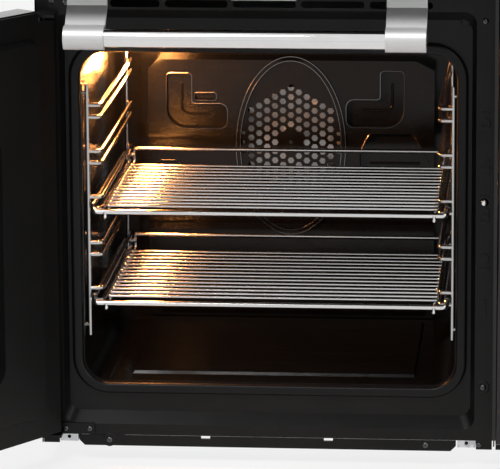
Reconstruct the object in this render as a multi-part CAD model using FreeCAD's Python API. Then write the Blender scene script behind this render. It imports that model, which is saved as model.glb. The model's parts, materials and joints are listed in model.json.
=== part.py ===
import FreeCAD, Part
import math
import os

V = FreeCAD.Vector

# Frame: origin on the floor under the middle of the body, +X right, -Y to the front, +Z up. Millimetres.

# Body
BODY_WIDTH = 1000.0
BODY_DEPTH = 600.0
FOOT_HEIGHT = 20.0
BODY_HEIGHT = 906.0
SHEET = 1.5
COLUMN_GAP = 4.0
SIDE_RETURN = 18.0

# Heights over the underside of the body
FRAME_BOTTOM = 10.0
RECESS_BOTTOM = 22.3
RECESS_TOP = 486.4
MOUTH_BOTTOM = 68.7
MOUTH_TOP = 437.8
VENT_BOTTOM = 489.1
VENT_HEIGHT = 8.0
GRILL_RECESS_BOTTOM = 582.0
GRILL_MOUTH_BOTTOM = 609.0
UPPER_MOUTH_TOP = 804.0
UPPER_RECESS_TOP = 830.0
FASCIA_BOTTOM = 850.0

# Oven mouths
CAVITY_SHIFT = 2.0
MOUTH_WIDTH = 409.0
MOUTH_RADIUS = 27.0
RECESS_WIDTH = 453.0
RECESS_DEPTH = 12.0
RECESS_RADIUS = 13.0
RECESS_DRAFT = 5.0
RECESS_LEDGE = 12.6
RECESS_HEAD = 10.8
SEAL_BAND = 12.0
SEAL_HEIGHT = 7.0
SEAL_SEAT = 1.0
VENT_LENGTH = 68.0
VENT_PITCH = 73.7
VENT_COUNT = 5
VENT_CORNER_CUT = 14.0

# Cavities
CAVITY_FRONT_LIP = 20.0
CAVITY_DEPTH = 385.0
CAVITY_FLOOR_DROP = 8.0
GRILL_DEPTH = 360.0
BAFFLE_DEPTH = 345.0
BAFFLE_WIDTH = 337.0
BAFFLE_TOP = 369.8
BAFFLE_CHAMFER = 22.0

# Perforated fan opening
FAN_CENTRE = 272.6
HOLE_PITCH = 10.8
HOLE_DIAMETER = 8.5
HOLE_RINGS = 6
OVAL_WIDTH = 129.0
OVAL_HEIGHT = 212.0
FAN_DIAMETER = 150.0
FAN_WIDTH = 24.0
FAN_BLADES = 12
FAN_HUB = 30.0
SHAFT_DIAMETER = 8.0
SHAFT_CLEARANCE = 0.05
SHAFT_ROOM = 6.0
MOTOR_DIAMETER = 76.0
MOTOR_LENGTH = 62.0
ELEMENT_DIAMETER = 7.0
ELEMENT_RING = 178.0
ELEMENT_GAP = 19.0
ELEMENT_BEND = 6.0
ELEMENT_STAND = 14.0
ELEMENT_TAIL = 30.0

# Ladder racks and shelves
RACK_WIRE = 5.0
RACK_POST = 5.0
RACK_FRONT = 34.0
RACK_BACK = 317.0
RACK_POST_HALF = 200.9
RACK_RAIL_HALF = 186.2
RACK_LEVELS = 5
TALL_LEVELS = 11
TALL_SHELVES = (1, 5, 9)
RACK_FIRST = 155.3
RACK_PITCH = 51.5
RACK_GAP = 13.3
RACK_HEAD = 24.0
RACK_BEND = 5.0
RACK_BUTT = 0.5
RACK_STUD_LOW = 12.0
RACK_STUD_HIGH = 10.0
SHELF_ROD = 6.0
SHELF_WIRE = 3.2
SHELF_WIRES = 14
SHELF_FRONT = 20.0
SHELF_FIRST_WIRE = 59.0
SHELF_LAST_WIRE = 280.0
SHELF_BACK = 306.0
SHELF_SIDE_HALF = 194.7
SHELF_CORNER = 9.0
SHELF_STUD = 5.0
SHELF_BACK_RISE = 12.9
RUNNING_GAP = 0.4

# Doors
DOOR_GAP = 6.0
DOOR_THICKNESS = 34.0
DOOR_EDGE = 4.0
DOOR_BOTTOM = 16.4
DOOR_TOP = 490.2
DOOR_CORNER = 4.0
DOOR_RETURN = 15.0
INNER_PLATE = 4.0
PLUG_HEIGHT = 10.0
PLUG_WIDTH = 436.0
PLUG_MARGIN = 24.0
GLASS = 4.0
UPPER_DOOR_BOTTOM = 567.2
UPPER_DOOR_TOP = 847.0
MAIN_HINGE_INSET = 11.0
MAIN_HINGE_DEPTH = 18.0
MAIN_OPEN_ANGLE = 125.0
UPPER_HINGE_HEIGHT = 577.2
UPPER_HINGE_DEPTH = 14.0
PIN_DIAMETER = 8.0
PIN_CLEARANCE = 0.05
WINDOW_WIDTH = 300.0
WINDOW_MARGIN_TOP = 120.0
WINDOW_MARGIN_BOTTOM = 75.0
WINDOW_RADIUS = 22.0
GRILL_WINDOW_LOW = 70.0
GRILL_WINDOW_HIGH = 85.0
PLUG_HEAD = 7.0
MAIN_PLUG_HEAD = 12.0
PLUG_RADIUS = 12.0

# Handles
BAR_DIAMETER = 19.0
BAR_STANDOFF = 48.0
COLLAR_DIAMETER = 24.0
STRAP_WIDTH = 41.0
STRAP_THICKNESS = 4.0
STRAP_SPACING = 324.7
STRAP_STEP = 30.0
BAR_DROP = 5.8

# Hob and controls
HOB_THICKNESS = 6.0
HOB_RIM = 12.0
KNOB_DIAMETER = 38.0
KNOB_LENGTH = 28.0
KNOB_COUNT = 8
KNOB_PITCH = 92.0
BUTTON_DIAMETER = 14.0

# Sheet-metal details
BASE_BAR_DEPTH = 30.0
DIVIDER_EDGE = 12.0
FIT_GAP = 0.3
BASE_BAR_DROP = 2.5
BASE_BAR_HALF = 208.5
BASE_BAR_CORNER = 6.0
FRAME_LEG = 17.5
TAB_SETBACK = 2.0
TAB_WIDTH = 21.5
TAB_HOLE = 4.0
TAB_HOLE_HEIGHT = 6.5
FRAME_GAP = 0.5
BAR_NOTCH_SPREAD = 68.0
BAR_NOTCH_HALF = 5.0
BAR_NOTCH_DEPTH = 4.0
BAR_NOTCH_RADIUS = 1.5
FOOT_STEM = 10.0
FOOT_PAD = 40.0
FOOT_PAD_HEIGHT = 8.0
FOOT_STEM_REACH = 22.0
FOOT_NUT = 20.0
FOOT_INSET_X = 60.0
FOOT_INSET_Y = 100.0
REAR_SLOT_ROWS = 8
REAR_SLOT_START = 560.0
REAR_SLOT_PITCH = 16.0
REAR_SLOT_LENGTH = 180.0
REAR_SLOT_HEIGHT = 6.0
VENT_END = 47.5
FLOOR_PAD_MARGIN = 45.0
FLOOR_PAD_FRONT = 60.0
FLOOR_PAD_BACK = 65.0
FLOOR_PAD_RISE = 3.0
BAFFLE_LIFT = 1.0
BAFFLE_LEAN = 4.0
DISH_DEPTH = 8.0
RIDGE_WIDTH = 3.0
SMALL_HOLE = 5.5
OVAL_RISE = 2.5
OVAL_BAND = 5.0
OVAL_DROP = 4.0
RIDGE_BEND = 8.0
# Each dish: side of the fan, corners as (distance from the fan's middle, height), and each corner's radius
DISHES = [(-1, [(75, 288), (147, 288), (147, 354), (117, 354), (117, 318), (75, 318)], [9, 24, 5, 5, 4, 9]),
          (1, [(65, 291), (133, 291), (133, 358), (105, 358), (105, 324), (65, 324)], [9, 21, 5, 5, 4, 9]),
          (-1, [(88, 321.5), (113.5, 321.5), (113.5, 331), (88, 331)], [3, 3, 3, 3]),
          (1, [(81, 208), (162, 208), (162, 252), (144, 284), (92, 284), (81, 262)], [8, 8, 12, 10, 8, 10]),
          (-1, [(131, 208), (160, 208), (160, 250), (131, 250)], [8, 8, 8, 8])]
RIDGES = [(-1, [(129, 341), (129, 305), (97, 305)]), (1, [(119, 343), (119, 310.5), (84, 310.5)]),
          (1, [(92, 247.5), (152, 247.5)])]

# Fan and heaters
FAN_BACK_GAP = 6.0
FAN_SHEET = 1.2
FAN_BLADE_ANGLE = 25.0
FAN_BLADE = 32.0
SHAFT_REACH = 20.0
MOTOR_PLATE = 100.0
MOTOR_LEG = 8.0
MOTOR_LEG_RING = 44.0
MOTOR_STANDOFF = 12.0
LAMP_DEPTH = 165.0
LAMP_INSET = 57.0
LAMP_RING = 56.0
LAMP_GLASS = 44.0
LAMP_DOME = 14.0

# Rack and shelf details
RACK_BELOW = 40.0
SHELF_LONG = 4.0
SHELF_LONG_HALF = 180.8
SHELF_BEND = 5.5
SHELF_RETURN = SHELF_SIDE_HALF - SHELF_LONG_HALF

# Door details
DOOR_SKIN = 1.0
DOOR_FREE_GAP = 0.5
INNER_INSET = 1.5
PLUG_BEVEL = 6.0
GLASS_LAP = 12.0
NOTCH_WIDTH = 26.0
NOTCH_HEIGHT = 12.0
HINGE_PLATE = 3.0
HINGE_LIFT = 3.0
HINGE_LEAF_START = 15.0
HINGE_LEAF_END = 59.0
HINGE_LEAF_LOW = 11.0
HINGE_LEAF_HIGH = 20.0
HINGE_PIN_LENGTH = 22.0
HINGE_BLOCK = 20.0
GRILL_HINGE_HALF = 205.0
GRILL_LUG = 5.0
GRILL_LUG_HALF = 6.0
GRILL_PIN = 6.0
GRILL_SLOT_HALF = 3.2
GRILL_CHEEK = 5.0
STRAP_FOOT = 16.0
STRAP_FLAT = 20.0
STRAP_LEAD = 10.0
SIDE_BAR_DROP = 20.0
STRAP_TUCK = 4.0
STRAP_STAND = 5.0
HINGE_ARM_OUT = 8.5
HINGE_ARM_IN = 14.0
HINGE_ARM_REACH = 9.0
GRILL_PLATE_HALF = 9.0
GRILL_PLATE_DROP = 14.0
GRILL_PLATE_RISE = 3.0
GRILL_SLOT_REACH = 9.0
GRILL_BLOCK_RISE = 14.0

# Controls
FASCIA_ROLL = 10.0
KNOB_FIRST = 152.0
KNOB_HEIGHT = FOOT_HEIGHT + 878.0
KNOB_GAP = 1.0
KNOB_STEP = 5.0
KNOB_SKIRT = 8.0
KNOB_GRIP = 10.0
KNOB_DECK = 10.0
SPINDLE = 8.0
SPINDLE_LENGTH = 25.0
SPINDLE_ROOM = 4.0
TAP_DIAMETER = 26.0
TAP_LENGTH = 45.0
BUTTON_X = 80.0
BUTTON_PROUD = 5.0
BUTTON_BODY = 15.0
BUTTON_TRAVEL = 3.0
BUTTON_CLEARANCE = 0.4

# Ball catch
CATCH_X = -12.4
CATCH_HEIGHT = 278.0
CATCH_BORE = 13.0
CATCH_BALL = 9.0
CATCH_PROUD = 4.0
CATCH_LENGTH = 25.0
CATCH_ROOM = 0.6
CATCH_RIM = 3.0
CATCH_FLANGE = 0.8
CATCH_STEM = 12.0

# Hob
HOB_WELL = 2.5
BURNER_PORTS = 16
BURNER_HEIGHT = 15.0
BURNER_FOOT = 8.0
BURNER_FOOT_HEIGHT = 5.0
BURNER_PORT_WIDTH = 2.4
BURNER_PORT_DEPTH = 6.0
BURNER_CAP = 7.0
BURNER_CAP_ROUND = 3.0
HOB_EDGE_ROUND = 2.5
HOB_WELL_FRONT = 10.0
HOB_WELL_BACK = 30.0
HOB_WELL_CORNER = 24.0
GRID_WIDTH = 310.0
GRID_FRONT = -285.0
GRID_BACK = 235.0
GRID_HEIGHT = 34.0
GRID_BAR = 9.0
FINGER_TIP = 26.0
GAS_STUB = 24.0
GAS_PIPE = 21.0
GAS_BORE = 15.0
GAS_INSIDE = 58.0
GAS_COLLAR = 6.0
GAS_FLANGE = 11.0
GAS_INSET_X = 70.0
GAS_INSET_Z = 50.0

# Grill pan
PAN_SIDE_GAP = 3.0
PAN_RIM = 14.0
PAN_FRONT = 40.0
PAN_BACK_GAP = 40.0
PAN_HEIGHT = 655.0
PAN_DEPTH = 38.0
PAN_CORNER = 20.0
PAN_LIP = 4.0
PAN_RAIL_REACH = PAN_SIDE_GAP + PAN_RIM - 3
PAN_RAIL_FRONT = 30.0
PAN_RAIL_END = 20.0
PAN_RAIL_HEIGHT = 4.0
GRILL_ROD_DROP = 28.0
GRILL_ROD_FRONT = 70.0
GRILL_ROD_STEP = 40.0
GRILL_ROD_HALF = 45.0
GRILL_ROD_SPREAD = 50.0
GRILL_ROD_TAIL = 18.0
GRILL_ROD_BEND = 20.0
GRILL_CARRIER_HALF = 165.0
GRILL_CARRIER_BACK = 50.0
GRILL_LOOPS = 3
SCREW_HEAD = 7.1
FRAME_SCREW_LOW = 70.7
FRAME_SCREW_HIGH = 477.0
BAR_SCREW_SPREAD = 175.0
BAR_SCREW_HEIGHT = 4.0
LEG_SCREW_X = 16.2
LEG_SCREW_HEIGHT = 5.0
LEG_SCREW_HEAD = 5.5
HEAD_SHARE = 0.32

FRONT = -BODY_DEPTH / 2
BACK = BODY_DEPTH / 2
COLUMN_CENTRES = (-BODY_WIDTH / 4, BODY_WIDTH / 4)
LEFT_CENTRE = -BODY_WIDTH / 4 + CAVITY_SHIFT
RIGHT_CENTRE = BODY_WIDTH / 4 - CAVITY_SHIFT
DOOR_BACK = FRONT - DOOR_GAP
DOOR_FRONT = DOOR_BACK - DOOR_THICKNESS
BODY_TOP = FOOT_HEIGHT + BODY_HEIGHT
FOOT_PLACES = [(x, y) for x in (-BODY_WIDTH / 2 + FOOT_INSET_X, BODY_WIDTH / 2 - FOOT_INSET_X)
               for y in (FRONT + FOOT_INSET_Y, BACK - FOOT_INSET_Y)]
GAS_PLACE = (BODY_WIDTH / 2 - GAS_INSET_X, BODY_TOP - GAS_INSET_Z)
WELL_FLOOR = BODY_TOP + HOB_THICKNESS - HOB_WELL


def up(height):
    return FOOT_HEIGHT + height


def box(x0, x1, y0, y1, z0, z1):
    return Part.makeBox(x1 - x0, y1 - y0, z1 - z0, V(x0, y0, z0))


def rounded_wire(x0, x1, z0, z1, radius, y):
    """Rounded rectangle in the XZ plane at depth y."""
    if radius <= 0:
        corners = [V(x0, y, z0), V(x1, y, z0), V(x1, y, z1), V(x0, y, z1), V(x0, y, z0)]
        return Part.makePolygon(corners)
    centres = [(x1 - radius, z1 - radius), (x0 + radius, z1 - radius),
               (x0 + radius, z0 + radius), (x1 - radius, z0 + radius)]
    arcs = []
    for quarter, (cx, cz) in enumerate(centres):
        points = []
        for step in range(3):
            angle = math.radians(90 * quarter + 45 * step)
            points.append(V(cx + radius * math.cos(angle), y, cz + radius * math.sin(angle)))
        arcs.append(Part.Arc(*points).toShape())
    edges = []
    for index, arc in enumerate(arcs):
        following = arcs[(index + 1) % 4]
        edges.append(arc)
        edges.append(Part.LineSegment(arc.Vertexes[-1].Point, following.Vertexes[0].Point).toShape())
    return Part.Wire(edges)


def slab(x0, x1, z0, z1, radius, y0, y1):
    """Rounded rectangle in the XZ plane, drawn out from y0 to y1."""
    return Part.Face(rounded_wire(x0, x1, z0, z1, radius, y0)).extrude(V(0, y1 - y0, 0))


def cylinder(centre, direction, diameter, length):
    return Part.makeCylinder(diameter / 2, length, centre, direction)


def together(shapes):
    return Part.makeCompound(shapes)


def fuse(shapes):
    joined = shapes[0]
    if len(shapes) > 1:
        joined = joined.multiFuse(shapes[1:])
    return joined.removeSplitter()


def rod(points, diameter, bend=0.0):
    """Round rod through the points, with tangent arcs of radius bend at the inner ones."""
    edges = []
    start = points[0]
    for before, corner, after in zip(points, points[1:], points[2:]):
        inward = (before - corner).normalize()
        outward = (after - corner).normalize()
        turn = math.pi - inward.getAngle(outward)
        reach = bend * math.tan(turn / 2)
        first = corner + inward * reach
        last = corner + outward * reach
        middle_direction = (inward + outward).normalize()
        middle = corner + middle_direction * (bend / math.cos(turn / 2) - bend)
        edges.append(Part.LineSegment(start, first).toShape())
        edges.append(Part.Arc(first, middle, last).toShape())
        start = last
    edges.append(Part.LineSegment(start, points[-1]).toShape())
    heading = (points[1] - points[0]).normalize()
    section = Part.Wire([Part.makeCircle(diameter / 2, points[0], heading)])
    if len(edges) == 1:
        return cylinder(points[0], heading, diameter, (points[-1] - points[0]).Length)
    return Part.Wire(edges).makePipeShell([section], True, False)


def strip(points, thickness, width, centre_x):
    """Bent strap: a line of (y, z) points given a thickness, drawn out along X."""
    near = []
    far = []
    for index, (y, z) in enumerate(points):
        here = V(y, z, 0)
        before = V(*points[max(index - 1, 0)], 0)
        after = V(*points[min(index + 1, len(points) - 1)], 0)
        first = (here - before) if index else (after - here)
        last = (after - here) if index < len(points) - 1 else (here - before)
        side = V(-first.y, first.x, 0).normalize() + V(-last.y, last.x, 0).normalize()
        side.normalize()
        half = thickness / 2 / max(0.5, side.dot(V(-first.y, first.x, 0).normalize()))
        near.append(here + side * half)
        far.append(here - side * half)
    outline = near + far[::-1] + near[:1]
    left = centre_x - width / 2
    wire = Part.makePolygon([V(left, point.x, point.y) for point in outline])
    return Part.Face(wire).extrude(V(width, 0, 0))


class Cavity:
    """Mouth, recess and liner of one oven, given by its centre and heights."""

    def __init__(self, centre, recess_bottom, recess_top, mouth_bottom, mouth_top, depth):
        self.centre = centre
        self.recess_left = centre - RECESS_WIDTH / 2
        self.recess_right = centre + RECESS_WIDTH / 2
        self.recess_bottom = up(recess_bottom)
        self.recess_top = up(recess_top)
        self.left = centre - MOUTH_WIDTH / 2
        self.right = centre + MOUTH_WIDTH / 2
        self.bottom = up(mouth_bottom)
        self.top = up(mouth_top)
        self.back = FRONT + depth
        self.floor = self.bottom - CAVITY_FLOOR_DROP

    def recess(self, grow):
        """Tapered pocket pressed into the front frame, grown outwards by grow."""
        outer = rounded_wire(self.recess_left - grow, self.recess_right + grow,
                             self.recess_bottom - grow, self.recess_top + grow,
                             RECESS_RADIUS + grow, FRONT)
        inner = rounded_wire(self.recess_left + RECESS_DRAFT - grow, self.recess_right - RECESS_DRAFT + grow,
                             self.recess_bottom + RECESS_LEDGE - grow, self.recess_top - RECESS_HEAD + grow,
                             RECESS_RADIUS + grow, FRONT + RECESS_DEPTH + grow)
        return Part.makeLoft([outer, inner], True, True)

    def mouth(self, grow, y0, y1):
        return slab(self.left - grow, self.right + grow, self.bottom - grow, self.top + grow,
                    MOUTH_RADIUS + grow, y0, y1)


MAIN = Cavity(LEFT_CENTRE, RECESS_BOTTOM, RECESS_TOP, MOUTH_BOTTOM, MOUTH_TOP, CAVITY_DEPTH)
GRILL = Cavity(LEFT_CENTRE, GRILL_RECESS_BOTTOM, UPPER_RECESS_TOP,
               GRILL_MOUTH_BOTTOM, UPPER_MOUTH_TOP, GRILL_DEPTH)
TALL = Cavity(RIGHT_CENTRE, RECESS_BOTTOM, UPPER_RECESS_TOP, MOUTH_BOTTOM, UPPER_MOUTH_TOP, CAVITY_DEPTH)

LINER_FRONT = FRONT + RECESS_DEPTH + SHEET


# Body panels

def side_panel(side):
    """Outer side of the body: a sheet with returns along its back, top and bottom edges."""
    outer = side * BODY_WIDTH / 2
    inner = outer - side * SHEET
    lip = outer - side * SIDE_RETURN
    x0, x1 = sorted((outer, inner))
    l0, l1 = sorted((outer, lip))
    low = up(0)
    sheet = box(x0, x1, FRONT, BACK, low, BODY_TOP)
    back_return = box(l0, l1, BACK - SHEET, BACK, low, BODY_TOP)
    top_return = box(l0, l1, FRONT + SIDE_RETURN, BACK, BODY_TOP - SHEET, BODY_TOP)
    foot_return = box(l0, l1, FRONT + SIDE_RETURN, BACK, low, low + SHEET)
    return fuse([sheet, back_return, top_return, foot_return])


def base_tray():
    """Floor of the body, with turned-up edges that screw to the sides and dimples over the feet."""
    half = BODY_WIDTH / 2 - SHEET
    low = up(0) + SHEET
    outer = box(-half, half, FRONT + BASE_BAR_DEPTH, BACK - SHEET, low, low + SIDE_RETURN)
    inner = box(-half + SHEET, half - SHEET, FRONT + BASE_BAR_DEPTH + SHEET, BACK - 2 * SHEET,
                low + SHEET, low + SIDE_RETURN + 1)
    tray = fuse([outer.cut(inner)] + base_tabs())
    stems = [cylinder(V(x, y, 0), V(0, 0, 1), FOOT_STEM + 1, up(60)) for x, y in FOOT_PLACES]
    return tray.cut(together(stems))


def rear_cover():
    """Back sheet with rows of pressed cooling slots, screwed inside the returns of the sides."""
    half = BODY_WIDTH / 2 - SHEET
    face = BACK - SHEET
    sheet = box(-half, half, face - SHEET, face, up(SHEET + SIDE_RETURN), BODY_TOP - SHEET)
    slots = []
    for centre in (LEFT_CENTRE, RIGHT_CENTRE):
        for row in range(REAR_SLOT_ROWS):
            z = up(REAR_SLOT_START) + row * REAR_SLOT_PITCH
            slots.append(slab(centre - REAR_SLOT_LENGTH / 2, centre + REAR_SLOT_LENGTH / 2, z,
                              z + REAR_SLOT_HEIGHT, REAR_SLOT_HEIGHT / 2 - 0.1, face - SHEET - 1, BACK))
    x, z = GAS_PLACE
    slots.append(cylinder(V(x, face - SHEET - 1, z), V(0, 1, 0), GAS_PIPE + 2 * FIT_GAP, SHEET + 2))
    return sheet.cut(together(slots))


def centre_divider():
    """Upright sheet between the two columns, with a turned front edge behind the frames."""
    sheet = box(-SHEET / 2, SHEET / 2, FRONT + SHEET, BACK - 2 * SHEET, up(0) + 2 * SHEET, BODY_TOP)
    edge = box(-DIVIDER_EDGE, DIVIDER_EDGE, FRONT + SHEET, FRONT + 2 * SHEET,
               up(FRAME_BOTTOM), up(FASCIA_BOTTOM))
    lip_front = FRONT + BASE_BAR_DEPTH - FIT_GAP
    lip_slot = box(-SHEET, SHEET, lip_front, lip_front + SHEET + 2 * FIT_GAP,
                   up(0), up(SHEET + SIDE_RETURN) + FIT_GAP)
    barrel_room = cylinder(V(CATCH_X, FRONT, up(CATCH_HEIGHT)), V(0, 1, 0), CATCH_BORE + 2, 3 * SHEET)
    return fuse([sheet, edge]).cut(lip_slot).cut(barrel_room)


def front_frame(x0, x1, cavities):
    """Enamelled front sheet on two short legs, with a tapered pocket pressed in round each oven mouth."""
    frame = box(x0, x1, FRONT, FRONT + SHEET, up(FRAME_BOTTOM), up(FASCIA_BOTTOM))
    for left in (x0, x1 - FRAME_LEG):
        frame = frame.fuse(box(left, left + FRAME_LEG, FRONT, FRONT + SHEET, up(0), up(FRAME_BOTTOM)))
    for cavity in cavities:
        frame = frame.fuse(cavity.recess(SHEET))
    for cavity in cavities:
        frame = frame.cut(cavity.recess(0))
        frame = frame.cut(cavity.mouth(0, FRONT, LINER_FRONT + SHEET))
    return frame


def vent_slots(centre):
    """Row of cooling-air slots over an oven mouth; the one beside the hinge is shorter."""
    slots = []
    right = centre + RECESS_WIDTH / 2 - VENT_END
    for index in range(VENT_COUNT):
        x1 = right - index * VENT_PITCH
        x0 = x1 - VENT_LENGTH
        if index == VENT_COUNT - 1:
            x0 += VENT_CORNER_CUT
        slots.append(slab(x0, x1, up(VENT_BOTTOM), up(VENT_BOTTOM) + VENT_HEIGHT,
                          VENT_HEIGHT / 2 - 0.3, FRONT - 1, FRONT + SHEET + 1))
    return together(slots)


def left_frame():
    frame = front_frame(-BODY_WIDTH / 2 + SHEET + FRAME_GAP, -COLUMN_GAP / 2, [MAIN, GRILL])
    frame = frame.cut(vent_slots(MAIN.centre))
    catch_hole = cylinder(V(CATCH_X, FRONT - 1, up(CATCH_HEIGHT)), V(0, 1, 0), CATCH_BORE, SHEET + 2)
    return frame.cut(catch_hole)


def right_frame():
    return front_frame(COLUMN_GAP / 2, BODY_WIDTH / 2 - SHEET - FRAME_GAP, [TALL])


def base_bar(centre):
    """Bar across the foot of one column, with small notches in its upper edge and a lip turned back."""
    top = up(FRAME_BOTTOM) - FRAME_GAP
    low = up(0) - BASE_BAR_DROP
    x0 = centre - BASE_BAR_HALF
    x1 = centre + BASE_BAR_HALF
    face = box(x0, x1, FRONT, FRONT + SHEET, low, top)
    lip = box(x0 + BASE_BAR_CORNER, x1 - BASE_BAR_CORNER, FRONT, FRONT + BASE_BAR_DEPTH - FRAME_GAP,
              low, low + SHEET)
    bar = fuse([face, lip])
    for side in (-1, 1):
        x = centre + side * BAR_NOTCH_SPREAD
        bar = bar.cut(slab(x - BAR_NOTCH_HALF, x + BAR_NOTCH_HALF, top - BAR_NOTCH_DEPTH,
                           top + BAR_NOTCH_DEPTH, BAR_NOTCH_RADIUS, FRONT - 1, FRONT + SHEET + 1))
        end = centre + side * BASE_BAR_HALF
        inner = end - side * BASE_BAR_CORNER
        cut = Part.makePolygon([V(end, FRONT - 1, low), V(inner, FRONT - 1, low),
                                V(end, FRONT - 1, low + BASE_BAR_CORNER), V(end, FRONT - 1, low)])
        bar = bar.cut(Part.Face(cut).extrude(V(0, SHEET + 2, 0)))
    return bar


def base_tabs():
    """Tabs of the base tray that reach forward beside the ends of the base bars, each with a screw hole."""
    tabs = []
    front = FRONT + TAB_SETBACK
    for centre in COLUMN_CENTRES:
        for side in (-1, 1):
            x0, x1 = sorted((centre + side * (BASE_BAR_HALF + SHEET),
                             centre + side * (BASE_BAR_HALF + TAB_WIDTH)))
            floor = box(x0, x1, front, FRONT + BASE_BAR_DEPTH + SHEET, up(SHEET), up(2 * SHEET))
            lip = box(x0, x1, front, front + SHEET, up(SHEET), up(FRAME_BOTTOM) - FRAME_GAP)
            hole = cylinder(V((x0 + x1) / 2, front - 1, up(TAB_HOLE_HEIGHT)), V(0, 1, 0), TAB_HOLE, SHEET + 2)
            tabs.append(fuse([floor, lip]).cut(hole))
    return tabs


# Ovens

def liner(cavity, with_floor_pad):
    """Enamelled oven box, open to the front, with a flange behind the frame."""
    back = cavity.back
    outer = slab(cavity.left - SHEET, cavity.right + SHEET, cavity.floor - SHEET, cavity.top + SHEET,
                 MOUTH_RADIUS + SHEET, LINER_FRONT, back + SHEET)
    inner = slab(cavity.left, cavity.right, cavity.floor, cavity.top, MOUTH_RADIUS, LINER_FRONT, back)
    flange = slab(cavity.left - CAVITY_FRONT_LIP, cavity.right + CAVITY_FRONT_LIP,
                  cavity.floor - CAVITY_FRONT_LIP, cavity.top + CAVITY_FRONT_LIP,
                  MOUTH_RADIUS, LINER_FRONT, LINER_FRONT + SHEET)
    shell = outer.fuse(flange).cut(inner)
    if with_floor_pad:
        shell = shell.fuse(floor_pad(cavity, 0)).cut(floor_pad(cavity, SHEET))
    return shell


def floor_pad(cavity, sink):
    """Raised field pressed up in the oven floor; sink gives the hollow under it."""
    x0 = cavity.left + FLOOR_PAD_MARGIN + sink
    x1 = cavity.right - FLOOR_PAD_MARGIN - sink
    y0 = LINER_FRONT + FLOOR_PAD_FRONT + sink
    y1 = cavity.back - FLOOR_PAD_BACK - sink
    low = cavity.floor - SHEET - (1 if sink else 0)
    top = cavity.floor + FLOOR_PAD_RISE - sink
    slope = FLOOR_PAD_RISE
    base = Part.makePolygon([V(x0, y0, low), V(x1, y0, low), V(x1, y1, low), V(x0, y1, low), V(x0, y0, low)])
    crown = Part.makePolygon([V(x0 + slope, y0 + slope, top), V(x1 - slope, y0 + slope, top),
                              V(x1 - slope, y1 - slope, top), V(x0 + slope, y1 - slope, top),
                              V(x0 + slope, y0 + slope, top)])
    return Part.makeLoft([base, crown], True, True)


def seal(cavity):
    """Door seal: a rounded bead on the pocket floor round the oven mouth."""
    seat = FRONT + RECESS_DEPTH
    face = seat - SEAL_HEIGHT
    grow = SEAL_SEAT + SEAL_BAND
    outer = slab(cavity.left - grow, cavity.right + grow, cavity.bottom - grow, cavity.top + grow,
                 MOUTH_RADIUS + grow, face, seat)
    inner = slab(cavity.left - SEAL_SEAT, cavity.right + SEAL_SEAT, cavity.bottom - SEAL_SEAT,
                 cavity.top + SEAL_SEAT, MOUTH_RADIUS + SEAL_SEAT, face - 1, seat + 1)
    ring = outer.cut(inner)
    front_edges = [edge for edge in ring.Edges
                   if all(abs(vertex.Point.y - face) < 0.01 for vertex in edge.Vertexes)]
    return ring.makeFillet(SEAL_HEIGHT * 0.6, front_edges)


def baffle_outline(inset, y0, y1):
    """Outline of the fan cover, drawn in by inset: a plate with its top corners cut off."""
    half = BAFFLE_WIDTH / 2 - inset
    centre = LEFT_CENTRE
    low = MAIN.floor + BAFFLE_LIFT + inset
    high = up(BAFFLE_TOP) - inset
    cut = BAFFLE_CHAMFER
    points = [V(centre - half, y0, low), V(centre + half, y0, low), V(centre + half, y0, high - cut / 2),
              V(centre + half - cut, y0, high), V(centre - half + cut / 2, y0, high),
              V(centre - half, y0, high - cut / 2), V(centre - half, y0, low)]
    return Part.Face(Part.makePolygon(points)).extrude(V(0, y1 - y0, 0))


def baffle_side(back_off):
    """Side view of the fan cover drawn across the oven: upright below the crease, leaning back above it."""
    face = FRONT + BAFFLE_DEPTH + back_off
    low = MAIN.floor
    high = up(BAFFLE_TOP)
    left = LEFT_CENTRE - BAFFLE_WIDTH / 2 - 1
    points = [V(left, face, low), V(left, face, up(FAN_CENTRE)), V(left, face + BAFFLE_LEAN, high),
              V(left, MAIN.back + 1, high), V(left, MAIN.back + 1, low), V(left, face, low)]
    return Part.Face(Part.makePolygon(points)).extrude(V(BAFFLE_WIDTH + 2, 0, 0))


def fan_holes(centre_x, centre_z, y):
    """Hexagonal field of air holes, with small ones round the hub and at the two side corners."""
    step = HOLE_PITCH * math.cos(math.radians(30))
    holes = []
    for column in range(-HOLE_RINGS, HOLE_RINGS + 1):
        reach = HOLE_RINGS - abs(column) / 2
        count = 2 * HOLE_RINGS - abs(column) + 1
        for index in range(count):
            offset = reach - index
            at_side = abs(column) == HOLE_RINGS
            distance = math.hypot(column * step, offset * HOLE_PITCH)
            if at_side and abs(offset) > 1.2:
                continue
            if distance < HOLE_PITCH * 1.1 and (column or offset):
                continue
            small = at_side or distance < HOLE_PITCH
            diameter = SMALL_HOLE if small else HOLE_DIAMETER
            place = V(centre_x + column * step, y, centre_z + offset * HOLE_PITCH)
            holes.append(hexagon_hole(place, diameter))
    return together(holes)


def hexagon_hole(place, diameter):
    points = []
    for corner in range(7):
        angle = math.radians(60 * corner)
        points.append(place + V(math.cos(angle), 0, math.sin(angle)) * (diameter / 2))
    return Part.Face(Part.makePolygon(points)).extrude(V(0, SHEET + BAFFLE_LEAN + 2, 0))


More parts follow.
